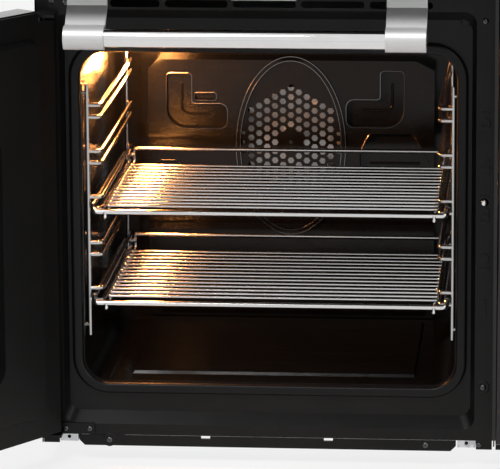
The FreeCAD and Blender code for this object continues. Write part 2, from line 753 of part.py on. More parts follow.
def oval_ring(centre_x, centre_z, y):
    """Raised oval bead round the air holes."""
    def oval(width, height, y0, depth):
        ellipse = Part.Ellipse(V(0, 0, 0), height / 2, width / 2)
        edge = ellipse.toShape()
        edge.Placement = FreeCAD.Placement(V(centre_x, y0, centre_z),
                                           FreeCAD.Rotation(V(1, 0, 0), -90).multiply(
                                               FreeCAD.Rotation(V(0, 0, 1), 90)))
        return Part.Face(Part.Wire([edge])).extrude(V(0, depth, 0))
    depth = OVAL_RISE + BAFFLE_LEAN + SHEET / 2
    outer = oval(OVAL_WIDTH, OVAL_HEIGHT, y - OVAL_RISE, depth)
    inner = oval(OVAL_WIDTH - 2 * OVAL_BAND, OVAL_HEIGHT - 2 * OVAL_BAND, y - OVAL_RISE - 1, depth + 2)
    return outer.cut(inner)


def fan_cover():
    """Pan that stands off the oven back over the fan, with air holes, an oval bead and pressed dishes."""
    face = FRONT + BAFFLE_DEPTH
    back = MAIN.back
    pan = baffle_outline(0, face, back).common(baffle_side(0))
    pan = pan.cut(baffle_outline(SHEET, face, back + 1).common(baffle_side(SHEET)))
    bead = oval_ring(LEFT_CENTRE, up(FAN_CENTRE) - OVAL_DROP, face)
    pan = pan.fuse(bead.common(baffle_outline(1, face - OVAL_RISE, back)).common(baffle_side(-OVAL_RISE)))
    pan = pan.cut(fan_holes(LEFT_CENTRE, up(FAN_CENTRE), face - 1))
    behind = baffle_side(SHEET / 2)
    for outline, radii in dishes():
        pan = pan.fuse(dish(outline, radii, SHEET).common(behind)).cut(dish(outline, radii, 0))
    return pan.fuse(together(dish_ridges()))


def corner_wire(points, radii, y):
    """Closed outline in the XZ plane at depth y, from (x, z) corners, each rounded by its radius."""
    arcs = []
    count = len(points)
    for index in range(count):
        corner = V(points[index][0], y, points[index][1])
        before = V(points[index - 1][0], y, points[index - 1][1]) - corner
        after = V(points[(index + 1) % count][0], y, points[(index + 1) % count][1]) - corner
        before.normalize()
        after.normalize()
        half_angle = before.getAngle(after) / 2
        reach = radii[index] / math.tan(half_angle)
        middle = (before + after).normalize() * (radii[index] / math.sin(half_angle) - radii[index])
        arcs.append(Part.Arc(corner + before * reach, corner + middle, corner + after * reach).toShape())
    edges = []
    for index, arc in enumerate(arcs):
        following = arcs[(index + 1) % count]
        edges.append(arc)
        edges.append(Part.LineSegment(arc.Vertexes[-1].Point, following.Vertexes[0].Point).toShape())
    return Part.Wire(edges)


def across(side, corners):
    """Corners given as (distance from the fan's middle, height), laid out on one side of it."""
    return [(LEFT_CENTRE + side * reach, up(height)) for reach, height in corners]


def dishes():
    """Outlines pressed into the fan cover: an L each side, a short slot, and a low pocket each side."""
    return [(across(side, corners), radii) for side, corners, radii in DISHES]


def dish(outline, radii, grow):
    """Pocket pressed back from the fan cover's face, or with grow the metal round it."""
    face = FRONT + BAFFLE_DEPTH
    flat = Part.Face(corner_wire(outline, radii, face - 1))
    if grow:
        flat = flat.makeOffset2D(grow)
    return flat.extrude(V(0, 1 + DISH_DEPTH + grow, 0))


def dish_ridges():
    """Raised lines on the floors of the dishes: one along each L, and a bar across the right pocket."""
    y = FRONT + BAFFLE_DEPTH + DISH_DEPTH
    lines = [across(side, line) for side, line in RIDGES]
    return [rod([V(x, y, z) for x, z in line], RIDGE_WIDTH, RIDGE_BEND) for line in lines]


def impeller(centre_x, centre_z, back, motor_face):
    """Fan wheel: a disc with bent blades on a hub, with its shaft into the motor."""
    plane = back - FAN_BACK_GAP
    hub = cylinder(V(centre_x, plane, centre_z), V(0, -1, 0), FAN_HUB, FAN_WIDTH)
    disc = cylinder(V(centre_x, plane, centre_z), V(0, -1, 0), FAN_DIAMETER - FAN_HUB, FAN_SHEET)
    shaft = cylinder(V(centre_x, plane, centre_z), V(0, 1, 0), SHAFT_DIAMETER,
                     motor_face - plane + SHAFT_REACH)
    blades = []
    for index in range(FAN_BLADES):
        blade = box(FAN_DIAMETER / 2 - FAN_BLADE, FAN_DIAMETER / 2, -FAN_WIDTH, 0, -FAN_SHEET / 2, FAN_SHEET / 2)
        blade.rotate(V(FAN_DIAMETER / 2 - FAN_BLADE, 0, 0), V(0, 1, 0), FAN_BLADE_ANGLE)
        blade.rotate(V(0, 0, 0), V(0, 1, 0), index * 360 / FAN_BLADES)
        blade.translate(V(centre_x, plane, centre_z))
        blades.append(blade)
    return fuse([disc, hub, shaft] + blades)


def fan_motor(centre_x, centre_z, back):
    """Motor can behind the oven back, on a three-legged bracket."""
    face = back + SHEET + MOTOR_STANDOFF
    can = cylinder(V(centre_x, face, centre_z), V(0, 1, 0), MOTOR_DIAMETER, MOTOR_LENGTH)
    plate = cylinder(V(centre_x, face, centre_z), V(0, 1, 0), MOTOR_PLATE, 2)
    legs = []
    for index in range(3):
        angle = math.radians(90 + 120 * index)
        x = centre_x + math.cos(angle) * MOTOR_LEG_RING
        z = centre_z + math.sin(angle) * MOTOR_LEG_RING
        legs.append(cylinder(V(x, back + SHEET, z), V(0, 1, 0), MOTOR_LEG, MOTOR_STANDOFF))
    body = fuse([can, plate] + legs)
    bore = cylinder(V(centre_x, face - 1, centre_z), V(0, 1, 0), SHAFT_DIAMETER + 2 * SHAFT_CLEARANCE,
                    SHAFT_REACH + 10)
    return body.cut(bore)


def element_ends(centre_x, centre_z, back):
    """Where the ring heater's two ends turn back: the point on the ring, and the way the ring leaves it."""
    radius = ELEMENT_RING / 2
    drop = math.sqrt(radius ** 2 - ELEMENT_GAP ** 2)
    ends = []
    for side in (-1, 1):
        meet = V(centre_x + side * ELEMENT_GAP, back - ELEMENT_STAND, centre_z - drop)
        ends.append((meet, V(side * drop / radius, 0, ELEMENT_GAP / radius)))
    return ends


def element_tails(centre_x, centre_z, back):
    """Middle of each straight tail of the ring heater, where it starts behind its bend."""
    return [meet + V(0, ELEMENT_BEND, 0) - heading * ELEMENT_BEND
            for meet, heading in element_ends(centre_x, centre_z, back)]


def ring_element(centre_x, centre_z, back):
    """Open ring heater round the fan, its two ends bent back and out through the oven back."""
    backward = V(0, 1, 0)
    halves = []
    for meet, heading in element_ends(centre_x, centre_z, back):
        centre = meet + backward * ELEMENT_BEND
        start = centre - heading * ELEMENT_BEND
        middle = centre - (backward + heading).normalize() * ELEMENT_BEND
        tail = V(start.x, back + ELEMENT_TAIL, start.z)
        halves.append([Part.LineSegment(tail, start).toShape(), Part.Arc(start, middle, meet).toShape()])
    (left, _), (right, _) = element_ends(centre_x, centre_z, back)
    crest = V(centre_x, back - ELEMENT_STAND, centre_z + ELEMENT_RING / 2)
    loop = Part.Arc(left, crest, right).toShape()
    tail = halves[0][0].Vertexes[0].Point
    section = Part.Wire([Part.makeCircle(ELEMENT_DIAMETER / 2, tail, V(0, -1, 0))])
    return Part.Wire(halves[0] + [loop] + halves[1][::-1]).makePipeShell([section], True, False)


def rack_height(level):
    return up(RACK_FIRST + level * RACK_PITCH)


def side_rack(cavity, side, levels, bend):
    """Ladder of paired rails on two posts, hung on the oven wall by short studs; bend 0 gives butted jogs."""
    post_x = cavity.centre + side * RACK_POST_HALF
    rail_x = cavity.centre + side * RACK_RAIL_HALF
    wall_x = cavity.centre + side * MOUTH_WIDTH / 2
    rear_x = rail_x + side * (RACK_WIRE / 2 + RACK_POST / 2 - 0.6)
    low = rack_height(0) - RACK_BELOW
    high = rack_height(levels - 1) + RACK_GAP + RACK_HEAD
    parts = []
    for x, depth in ((post_x, RACK_FRONT), (rear_x, RACK_BACK)):
        y = FRONT + depth
        parts.append(rod([V(x, y, low), V(x, y, high)], RACK_POST))
        for z in (low + RACK_STUD_LOW, high - RACK_STUD_HIGH):
            parts.append(rod([V(x, y, z), V(wall_x, y, z)], RACK_WIRE))
    for level in range(levels):
        for lift in (0, RACK_GAP):
            z = rack_height(level) + lift
            start = V(post_x, FRONT + RACK_FRONT, z)
            corner = V(rail_x, FRONT + RACK_FRONT, z)
            end = V(rail_x, FRONT + RACK_BACK + 2, z)
            if bend:
                parts.append(rod([start, corner, end], RACK_WIRE, bend))
            else:
                parts.append(rod([start, corner], RACK_WIRE - RACK_BUTT))
                parts.append(rod([corner - V(0, RACK_WIRE / 2 + RACK_BUTT, 0), end], RACK_WIRE))
    return fuse(parts)


def wire_shelf(cavity, level):
    """Oven shelf: front bar, side rods that run on the rails, cross wires, and a raised back bar."""
    rail = rack_height(level)
    side_z = rail + (RACK_WIRE + SHELF_ROD) / 2 + FIT_GAP
    bar_z = side_z - SHELF_ROD
    long_z = bar_z - (SHELF_ROD + SHELF_LONG) / 2 + FIT_GAP
    wire_z = long_z + (SHELF_LONG + SHELF_WIRE) / 2 - FIT_GAP
    back_z = rail + SHELF_BACK_RISE
    front_y = FRONT + SHELF_FRONT
    back_y = FRONT + SHELF_BACK
    centre = cavity.centre
    left = centre - SHELF_SIDE_HALF
    right = centre + SHELF_SIDE_HALF
    rise_y = front_y + SHELF_CORNER
    half_round = [V(left + SHELF_RETURN, back_y, side_z), V(left, back_y, side_z), V(left, rise_y, side_z),
                  V(left, front_y, bar_z)]
    other_half = [V(right, front_y, bar_z), V(right, rise_y, side_z), V(right, back_y, side_z),
                  V(right - SHELF_RETURN, back_y, side_z)]
    frame = rod(half_round + other_half, SHELF_ROD, SHELF_BEND)
    back = rod([V(centre - SHELF_LONG_HALF, back_y, back_z), V(centre + SHELF_LONG_HALF, back_y, back_z)],
               SHELF_ROD - 1)
    parts = [frame, back]
    for side in (-1, 1):
        long_x = centre + side * SHELF_LONG_HALF
        stud_y = front_y - SHELF_LONG / 2 + FIT_GAP
        parts.append(rod([V(long_x, stud_y, bar_z), V(long_x, stud_y, bar_z - SHELF_STUD)], SHELF_LONG))
        parts.append(Part.makeSphere(SHELF_STUD / 2, V(long_x, stud_y, bar_z - SHELF_STUD)))
        parts.append(rod([V(long_x, front_y, long_z), V(long_x, back_y, long_z),
                          V(long_x, back_y, back_z)], SHELF_LONG, SHELF_LONG))
    step = (SHELF_LAST_WIRE - SHELF_FIRST_WIRE) / (SHELF_WIRES - 1)
    for index in range(SHELF_WIRES):
        y = FRONT + SHELF_FIRST_WIRE + index * step
        parts.append(rod([V(centre - SHELF_LONG_HALF - 1, y, wire_z), V(centre + SHELF_LONG_HALF + 1, y, wire_z)],
                         SHELF_WIRE))
    return fuse(parts)


def grill_pan():
    """Shallow enamelled pan that slides on two rails pressed in the upper oven's sides."""
    half = MOUTH_WIDTH / 2 - PAN_SIDE_GAP
    x0 = GRILL.centre - half
    x1 = GRILL.centre + half
    y0 = FRONT + PAN_FRONT
    y1 = GRILL.back - PAN_BACK_GAP
    low = up(PAN_HEIGHT)
    outer = rounded_plan(x0 + PAN_RIM, x1 - PAN_RIM, y0, y1, PAN_CORNER, low, PAN_DEPTH)
    inner = rounded_plan(x0 + PAN_RIM + SHEET, x1 - PAN_RIM - SHEET, y0 + SHEET, y1 - SHEET, PAN_CORNER - SHEET,
                         low + SHEET, PAN_DEPTH)
    rim = rounded_plan(x0, x1, y0 - PAN_LIP, y1 + PAN_LIP, PAN_LIP + 2, low + PAN_DEPTH - SHEET, SHEET)
    return outer.fuse(rim).cut(inner)


def grill_rails():
    """Side rails for the grill pan."""
    rails = []
    for side in (-1, 1):
        wall = GRILL.centre + side * MOUTH_WIDTH / 2
        inner = wall - side * PAN_RAIL_REACH
        x0, x1 = sorted((wall, inner))
        z = up(PAN_HEIGHT) + PAN_DEPTH - SHEET - RUNNING_GAP
        rails.append(box(x0, x1, FRONT + PAN_RAIL_FRONT, GRILL.back - PAN_RAIL_END, z - PAN_RAIL_HEIGHT, z))
    return rails


def grill_element(cavity):
    """Looped heating rod under the grill roof, with its ends through the back."""
    z = cavity.top - GRILL_ROD_DROP
    tail = cavity.back + GRILL_ROD_TAIL
    parts = []
    for loop in range(GRILL_LOOPS):
        half = GRILL_ROD_HALF + loop * GRILL_ROD_SPREAD
        front = FRONT + GRILL_ROD_FRONT + (GRILL_LOOPS - 1 - loop) * GRILL_ROD_STEP
        left = cavity.centre - half
        right = cavity.centre + half
        parts.append(rod([V(left, tail, z), V(left, front, z), V(right, front, z), V(right, tail, z)],
                         ELEMENT_DIAMETER, GRILL_ROD_BEND))
    y = cavity.back - GRILL_CARRIER_BACK
    carrier = box(cavity.centre - GRILL_CARRIER_HALF, cavity.centre + GRILL_CARRIER_HALF, y, y + 2,
                  z - ELEMENT_DIAMETER, cavity.top)
    return [carrier.cut(together(parts))] + parts


def oven_lamp():
    """Glass lamp dome in a ring under the oven roof, near the left wall."""
    place = V(MAIN.left + LAMP_INSET, FRONT + LAMP_DEPTH, MAIN.top)
    down = V(0, 0, -1)
    ring = cylinder(place, down, LAMP_RING, 4).cut(cylinder(place, down, LAMP_GLASS, 4))
    half = LAMP_GLASS / 2 - FIT_GAP
    radius = (half ** 2 + LAMP_DOME ** 2) / (2 * LAMP_DOME)
    sphere = Part.makeSphere(radius, place + V(0, 0, radius - LAMP_DOME))
    glass = sphere.common(cylinder(place, down, 2 * half, LAMP_DOME))
    return ring, glass


# Doors, drawn closed

def door_pan(x0, x1, z0, z1, window, notch=None):
    """Outer door skin: a pressed pan with rounded front edges and turned-in rear flanges."""
    outer = box(x0, x1, DOOR_FRONT, DOOR_BACK - INNER_PLATE, z0, z1)
    front_edges = [edge for edge in outer.Edges
                   if all(abs(vertex.Point.y - DOOR_FRONT) < 0.01 for vertex in edge.Vertexes)]
    outer = outer.makeFillet(DOOR_CORNER, front_edges)
    hollow = box(x0 + DOOR_SKIN, x1 - DOOR_SKIN, DOOR_FRONT + DOOR_SKIN, DOOR_BACK - INNER_PLATE - DOOR_SKIN,
                 z0 + DOOR_SKIN, z1 - DOOR_SKIN)
    opening = box(x0 + DOOR_RETURN, x1 - DOOR_RETURN, DOOR_FRONT + DOOR_SKIN, DOOR_BACK,
                  z0 + DOOR_RETURN, z1 - DOOR_RETURN)
    pan = outer.cut(hollow).cut(opening)
    if window:
        pan = pan.cut(slab(*window, WINDOW_RADIUS, DOOR_FRONT - 1, DOOR_FRONT + DOOR_SKIN + 1))
    if notch:
        pan = pan.fuse(notch_walls(notch, outer)).cut(notch)
    return pan


def notch_walls(notch, outer):
    """Sheet lining round the cut-out that clears a hinge plate."""
    bounds = notch.BoundBox
    walls = box(bounds.XMin - DOOR_SKIN, bounds.XMax + DOOR_SKIN, bounds.YMin, bounds.YMax,
                bounds.ZMin - DOOR_SKIN, bounds.ZMax + DOOR_SKIN)
    return walls.common(outer)


def door_inner(cavity, x0, x1, z0, z1, window, plug_low, plug_high):
    """Inner door plate with the raised plug that closes onto the seal."""
    plate = box(x0, x1, DOOR_BACK - INNER_PLATE, DOOR_BACK, z0, z1)
    half = PLUG_WIDTH / 2
    base = rounded_wire(cavity.centre - half, cavity.centre + half, plug_low, plug_high, PLUG_RADIUS,
                        DOOR_BACK - SHEET)
    crown = rounded_wire(cavity.centre - half + PLUG_BEVEL, cavity.centre + half - PLUG_BEVEL,
                         plug_low + PLUG_BEVEL, plug_high - PLUG_BEVEL, PLUG_RADIUS, DOOR_BACK + PLUG_HEIGHT)
    plug = Part.makeLoft([base, crown], True, True)
    panel = plate.fuse(plug)
    if window:
        panel = panel.cut(slab(*window, WINDOW_RADIUS, DOOR_BACK - INNER_PLATE - 1, DOOR_BACK + PLUG_HEIGHT + 1))
    return panel


def window_of(cavity, z0, z1):
    half = WINDOW_WIDTH / 2
    return (cavity.centre - half, cavity.centre + half, z0 + WINDOW_MARGIN_BOTTOM, z1 - WINDOW_MARGIN_TOP)


def door_glass(window):
    """Outer and inner panes, behind the outer skin and in the inner plate."""
    x0, x1, z0, z1 = window
    lap = GLASS_LAP
    outer_front = DOOR_FRONT + DOOR_SKIN
    outer = slab(x0 - lap, x1 + lap, z0 - lap, z1 + lap, WINDOW_RADIUS, outer_front, outer_front + GLASS)
    inner_front = DOOR_BACK - INNER_PLATE - GLASS
    inner = slab(x0 - lap, x1 + lap, z0 - lap, z1 + lap, WINDOW_RADIUS, inner_front, inner_front + GLASS)
    return outer, inner


def handle_bar(centre_x, z):
    """Round bar with slightly domed ends."""
    length = STRAP_SPACING + STRAP_WIDTH
    place = V(centre_x - length / 2, DOOR_FRONT - BAR_STANDOFF, z)
    bar = cylinder(place, V(1, 0, 0), BAR_DIAMETER, length)
    ends = [edge for edge in bar.Edges if edge.Curve.TypeId == "Part::GeomCircle"]
    return bar.makeFillet(2.0, ends)


def handle_brackets(centre_x, z):
    """Two bent straps, each rolled into a collar round the end of the bar."""
    brackets = []
    for side in (-1, 1):
        x = centre_x + side * STRAP_SPACING / 2
        bar_y = DOOR_FRONT - BAR_STANDOFF
        foot_z = z - STRAP_STEP
        reach = COLLAR_DIAMETER / 2 - STRAP_THICKNESS / 2
        face_y = DOOR_FRONT - STRAP_THICKNESS / 2
        line = [(face_y, foot_z - STRAP_FOOT), (face_y, foot_z - STRAP_TUCK), (DOOR_FRONT - STRAP_STAND, foot_z),
                (DOOR_FRONT - STRAP_FLAT, foot_z), (bar_y + reach, z - STRAP_LEAD), (bar_y + reach, z)]
        strap = strip(line, STRAP_THICKNESS, STRAP_WIDTH, x)
        collar = cylinder(V(x - STRAP_WIDTH / 2, bar_y, z), V(1, 0, 0), COLLAR_DIAMETER, STRAP_WIDTH)
        bore = cylinder(V(x - STRAP_WIDTH / 2 - 1, bar_y, z), V(1, 0, 0), BAR_DIAMETER, STRAP_WIDTH + 2)
        brackets.append(fuse([strap, collar]).cut(bore))
    return brackets


def handle(centre_x, z):
    return [handle_bar(centre_x, z)] + handle_brackets(centre_x, z)


def turned(shape, pivot, axis, degrees):
    copy = shape.copy()
    copy.rotate(pivot, axis, degrees)
    return copy


MAIN_AXIS_X = -BODY_WIDTH / 2 + MAIN_HINGE_INSET
TALL_AXIS_X = BODY_WIDTH / 2 - MAIN_HINGE_INSET
SIDE_AXIS_Y = FRONT - MAIN_HINGE_DEPTH
DROP_AXIS = V(0, FRONT - UPPER_HINGE_DEPTH, up(UPPER_HINGE_HEIGHT))


def open_main(shape):
    return turned(shape, V(MAIN_AXIS_X, SIDE_AXIS_Y, 0), V(0, 0, 1), -MAIN_OPEN_ANGLE)


def open_grill(shape):
    return turned(shape, DROP_AXIS, V(1, 0, 0), 90)


def hinge_notch(side, z1):
    """Space cut out of a door's top hinge corner for the plate and pin of the body."""
    edge = side * (BODY_WIDTH / 2 - DOOR_EDGE)
    inner = edge - side * NOTCH_WIDTH
    x0, x1 = sorted((edge + side * 2, inner))
    return box(x0, x1, DOOR_FRONT - 1, DOOR_BACK + 1, z1 - NOTCH_HEIGHT, z1 + 1)


def pin_bore(axis_x, z0, z1):
    return cylinder(V(axis_x, SIDE_AXIS_Y, z0), V(0, 0, 1), PIN_DIAMETER + 2 * PIN_CLEARANCE, z1 - z0)


def hinge_block(side, z0, z1):
    """Solid bearing block in the door corner that the hinge pin turns in."""
    edge = side * (BODY_WIDTH / 2 - DOOR_EDGE - DOOR_SKIN)
    inner = edge - side * (NOTCH_WIDTH - 2 * DOOR_SKIN)
    x0, x1 = sorted((edge, inner))
    return box(x0, x1, DOOR_FRONT + DOOR_SKIN, DOOR_BACK - INNER_PLATE - DOOR_SKIN, z0, z1)


def side_door(cavity, side, axis_x, z0, z1, plug_high):
    """Side-hung oven door: skin, inner plate, panes, hinge blocks."""
    edge = side * (BODY_WIDTH / 2 - DOOR_EDGE)
    free = side * (COLUMN_GAP / 2 + DOOR_FREE_GAP)
    x0, x1 = sorted((edge, free))
    window = window_of(cavity, z0, z1)
    notch = hinge_notch(side, z1)
    pan = door_pan(x0, x1, z0, z1, window, notch)
    block_top = z1 - NOTCH_HEIGHT - DOOR_SKIN
    top_block = hinge_block(side, block_top - HINGE_BLOCK, block_top)
    low_block = hinge_block(side, z0 + DOOR_SKIN, z0 + DOOR_SKIN + HINGE_BLOCK)
    bore = pin_bore(axis_x, z0 - 1, z1 + 1)
    pan = pan.fuse(top_block).fuse(low_block).cut(bore)
    inner = door_inner(cavity, x0 + INNER_INSET, x1 - INNER_INSET, z0 + INNER_INSET, z1 - INNER_INSET, window,
                       z0 + PLUG_MARGIN, plug_high)
    inner = inner.cut(notch)
    return pan, inner, door_glass(window)


def side_hinges(side, axis_x, z0, z1, top_leaf):
    """Bottom and top hinge plates screwed to the front frame, each with its pin."""
    edge = side * BODY_WIDTH / 2
    leaf_x0, leaf_x1 = sorted((edge - side * HINGE_LEAF_START, edge - side * HINGE_LEAF_END))
    arm_x0, arm_x1 = sorted((axis_x + side * HINGE_ARM_OUT, axis_x - side * HINGE_ARM_IN))
    brackets = []
    low = z0 - HINGE_PLATE - 1
    high = z1 - NOTCH_HEIGHT + HINGE_LIFT
    for plate_z, upward, leaf_height in ((low, 1, HINGE_LEAF_LOW), (high, -1, top_leaf)):
        leaf = box(leaf_x0, leaf_x1, FRONT - HINGE_PLATE, FRONT, plate_z, plate_z + leaf_height)
        arm = box(arm_x0, arm_x1, SIDE_AXIS_Y - HINGE_ARM_REACH, FRONT, plate_z, plate_z + HINGE_PLATE)
        start = plate_z + HINGE_PLATE if upward > 0 else plate_z
        pin = cylinder(V(axis_x, SIDE_AXIS_Y, start), V(0, 0, upward), PIN_DIAMETER, HINGE_PIN_LENGTH)
        brackets.append(fuse([leaf, arm, pin]))
    return brackets


def grill_door():
    """Drop-down door of the upper oven: skin and inner plate."""
    x0 = -BODY_WIDTH / 2 + DOOR_EDGE
    x1 = -COLUMN_GAP / 2 - DOOR_FREE_GAP
    z0 = up(UPPER_DOOR_BOTTOM)
    z1 = up(UPPER_DOOR_TOP)
    window = (GRILL.centre - WINDOW_WIDTH / 2, GRILL.centre + WINDOW_WIDTH / 2,
              z0 + GRILL_WINDOW_LOW, z1 - GRILL_WINDOW_HIGH)
    pan = door_pan(x0, x1, z0, z1, window)
    for side in (-1, 1):
        x = GRILL.centre + side * GRILL_HINGE_HALF
        block = box(x - GRILL_SLOT_HALF - GRILL_CHEEK, x + GRILL_SLOT_HALF + GRILL_CHEEK,
                    DOOR_FRONT + DOOR_SKIN, DOOR_BACK - INNER_PLATE, z0 + DOOR_SKIN,
                    DROP_AXIS.z + GRILL_BLOCK_RISE)
        pan = pan.fuse(block).cut(grill_slot(x, z0)).cut(grill_pin(x, 2 * PIN_CLEARANCE))
    inner = door_inner(GRILL, x0 + INNER_INSET, x1 - INNER_INSET, z0 + INNER_INSET, z1 - INNER_INSET, window,
                       z0 + PLUG_MARGIN, up(UPPER_RECESS_TOP) - RECESS_HEAD - PLUG_HEAD)
    for side in (-1, 1):
        inner = inner.cut(grill_slot(GRILL.centre + side * GRILL_HINGE_HALF, z0))
    return pan, inner, door_glass(window)


def grill_slot(x, z0):
    """Slot in the foot of the drop-down door that the hinge lug stands in."""
    return box(x - GRILL_SLOT_HALF, x + GRILL_SLOT_HALF, DROP_AXIS.y - GRILL_SLOT_REACH,
               DOOR_BACK + PLUG_HEIGHT + 1, z0 - 1, DROP_AXIS.z + GRILL_SLOT_REACH)


def grill_pin(x, extra):
    length = 2 * (GRILL_SLOT_HALF + GRILL_CHEEK) + (2 if extra else -1)
    return cylinder(V(x - length / 2, DROP_AXIS.y, DROP_AXIS.z), V(1, 0, 0), GRILL_PIN + extra, length)


def grill_hinges():
    """Lugs of the drop-down door: a rounded tongue on a plate each side, with its cross pin."""
    lugs = []
    for side in (-1, 1):
        x = GRILL.centre + side * GRILL_HINGE_HALF
        plate = box(x - GRILL_PLATE_HALF, x + GRILL_PLATE_HALF, FRONT - SHEET, FRONT,
                    DROP_AXIS.z - GRILL_PLATE_DROP, DROP_AXIS.z + GRILL_PLATE_RISE)
        tongue = box(x - GRILL_LUG / 2, x + GRILL_LUG / 2, DROP_AXIS.y, FRONT,
                     DROP_AXIS.z - GRILL_LUG_HALF, DROP_AXIS.z + GRILL_PLATE_RISE)
        nose = cylinder(V(x - GRILL_LUG / 2, DROP_AXIS.y, DROP_AXIS.z), V(1, 0, 0), 2 * GRILL_LUG_HALF,
                        GRILL_LUG)
        lugs.append(fuse([plate, tongue, nose, grill_pin(x, 0)]))
    return lugs


# Controls, hob and underside

def fascia_outline(inset, x0, x1):
    """Section of the control panel: upright face with a rolled top edge."""
    y0 = DOOR_FRONT + inset
    z0 = up(FASCIA_BOTTOM) + inset
    z1 = BODY_TOP - inset
    roll = FASCIA_ROLL - inset
    centre = V(x0, y0 + roll, z1 - roll)
    mid = centre + V(0, -math.sin(math.pi / 4), math.cos(math.pi / 4)) * roll
    edges = [Part.LineSegment(V(x0, FRONT, z0), V(x0, y0, z0)).toShape(),
             Part.LineSegment(V(x0, y0, z0), V(x0, y0, z1 - roll)).toShape(),
             Part.Arc(V(x0, y0, z1 - roll), mid, V(x0, y0 + roll, z1)).toShape(),
             Part.LineSegment(V(x0, y0 + roll, z1), V(x0, FRONT, z1)).toShape(),
             Part.LineSegment(V(x0, FRONT, z1), V(x0, FRONT, z0)).toShape()]
    return Part.Face(Part.Wire(edges)).extrude(V(x1 - x0, 0, 0))


def knob_places():
    places = []
    for side in (-1, 1):
        for index in range(KNOB_COUNT // 2):
            places.append(side * (KNOB_FIRST + index * KNOB_PITCH))
    return sorted(places)


def fascia():
    """Control panel: a hollow pressed section with holes for the spindles and buttons."""
    half = BODY_WIDTH / 2 - 1
    panel = fascia_outline(0, -half, half).cut(fascia_outline(SHEET, -half + SHEET, half - SHEET))
    holes = [cylinder(V(x, DOOR_FRONT - 1, KNOB_HEIGHT), V(0, 1, 0), SPINDLE + SPINDLE_ROOM, SHEET + 2)
             for x in knob_places()]
    holes.append(cylinder(V(BUTTON_X, DOOR_FRONT - 1, KNOB_HEIGHT), V(0, 1, 0),
                          BUTTON_DIAMETER + 2 * BUTTON_CLEARANCE, SHEET + 2))
    return panel.cut(together(holes))


def taps():
    """Row of taps and switches in the control panel that the knob spindles turn in."""
    bodies = []
    for x in knob_places():
        face = DOOR_FRONT + SHEET
        body = cylinder(V(x, face, KNOB_HEIGHT), V(0, 1, 0), TAP_DIAMETER, TAP_LENGTH)
        bore = cylinder(V(x, face - 1, KNOB_HEIGHT), V(0, 1, 0), SPINDLE + 2 * SHAFT_CLEARANCE,
                        SPINDLE_LENGTH + 2)
        bodies.append(body.cut(bore))
    return bodies


def knob(x):
    """Control knob: a skirted body with a gripping bar across it, on its spindle."""
    face = DOOR_FRONT - KNOB_GAP
    radius = KNOB_DIAMETER / 2
    waist = radius - KNOB_STEP
    profile = [V(0, 0, 0), V(radius, 0, 0), V(radius, -KNOB_SKIRT / 2, 0), V(waist + 1, -KNOB_SKIRT, 0),
               V(waist, -KNOB_LENGTH + 2, 0), V(waist - 2, -KNOB_LENGTH, 0), V(0, -KNOB_LENGTH, 0), V(0, 0, 0)]
    body = Part.Face(Part.makePolygon(profile)).revolve(V(0, 0, 0), V(0, 1, 0), 360)
    body.translate(V(x, face, KNOB_HEIGHT))
    cuts = []
    for side in (-1, 1):
        z0, z1 = sorted((KNOB_HEIGHT + side * KNOB_GRIP / 2, KNOB_HEIGHT + side * (radius + 2)))
        cuts.append(box(x - radius, x + radius, face - KNOB_LENGTH - 1, face - KNOB_DECK, z0, z1))
    boss = cylinder(V(x, face - KNOB_DECK, KNOB_HEIGHT), V(0, -1, 0), 2 * waist - 6, 4)
    spindle = cylinder(V(x, face - 1, KNOB_HEIGHT), V(0, 1, 0), SPINDLE, SPINDLE_LENGTH + KNOB_GAP)
    body = body.cut(together(cuts))
    return fuse([body, boss, spindle])


def button():
    """Ignition button with its stem."""
    face = DOOR_FRONT - BUTTON_PROUD
    cap = cylinder(V(BUTTON_X, face, KNOB_HEIGHT), V(0, 1, 0), BUTTON_DIAMETER, BUTTON_BODY)
    rim = [edge for edge in cap.Edges if abs(edge.BoundBox.YMax - face) < 0.01 and edge.BoundBox.XLength > 1]
    return cap.makeFillet(1.0, rim)


def button_switch():
    """Switch body that the ignition button slides in, held to the back of the panel."""
    start = DOOR_FRONT + SHEET
    floor = DOOR_FRONT - BUTTON_PROUD + BUTTON_BODY + BUTTON_TRAVEL + RUNNING_GAP
    half = BUTTON_DIAMETER / 2 + 5
    body = box(BUTTON_X - half, BUTTON_X + half, start, floor + 14, KNOB_HEIGHT - half, KNOB_HEIGHT + half)
    return body.cut(cylinder(V(BUTTON_X, start, KNOB_HEIGHT), V(0, 1, 0),
                             BUTTON_DIAMETER + 2 * BUTTON_CLEARANCE, floor - start))


def hob_tray():
    """Pressed hob top with a raised rim and a shallow well under the burners."""
    half = BODY_WIDTH / 2
    plate = box(-half, half, DOOR_FRONT, BACK, BODY_TOP, BODY_TOP + HOB_THICKNESS)
    edges = [edge for edge in plate.Edges if abs(edge.BoundBox.ZMin - BODY_TOP - HOB_THICKNESS) < 0.01]
    plate = plate.makeFillet(HOB_EDGE_ROUND, edges)
    well_back = BACK - HOB_RIM - HOB_WELL_BACK
    well = rounded_plan(-half + HOB_RIM, half - HOB_RIM, DOOR_FRONT + HOB_RIM + HOB_WELL_FRONT, well_back,
                        HOB_WELL_CORNER, WELL_FLOOR, 2 * HOB_WELL)
    under_half = half - HOB_RIM - 2 * SHEET
    under = rounded_plan(-under_half, under_half, FRONT + 2 * SHEET, well_back - 2 * SHEET,
                         HOB_WELL_CORNER - 2 * SHEET, BODY_TOP - 1, 1 + HOB_THICKNESS - HOB_WELL - SHEET)
    return plate.cut(well).cut(under)


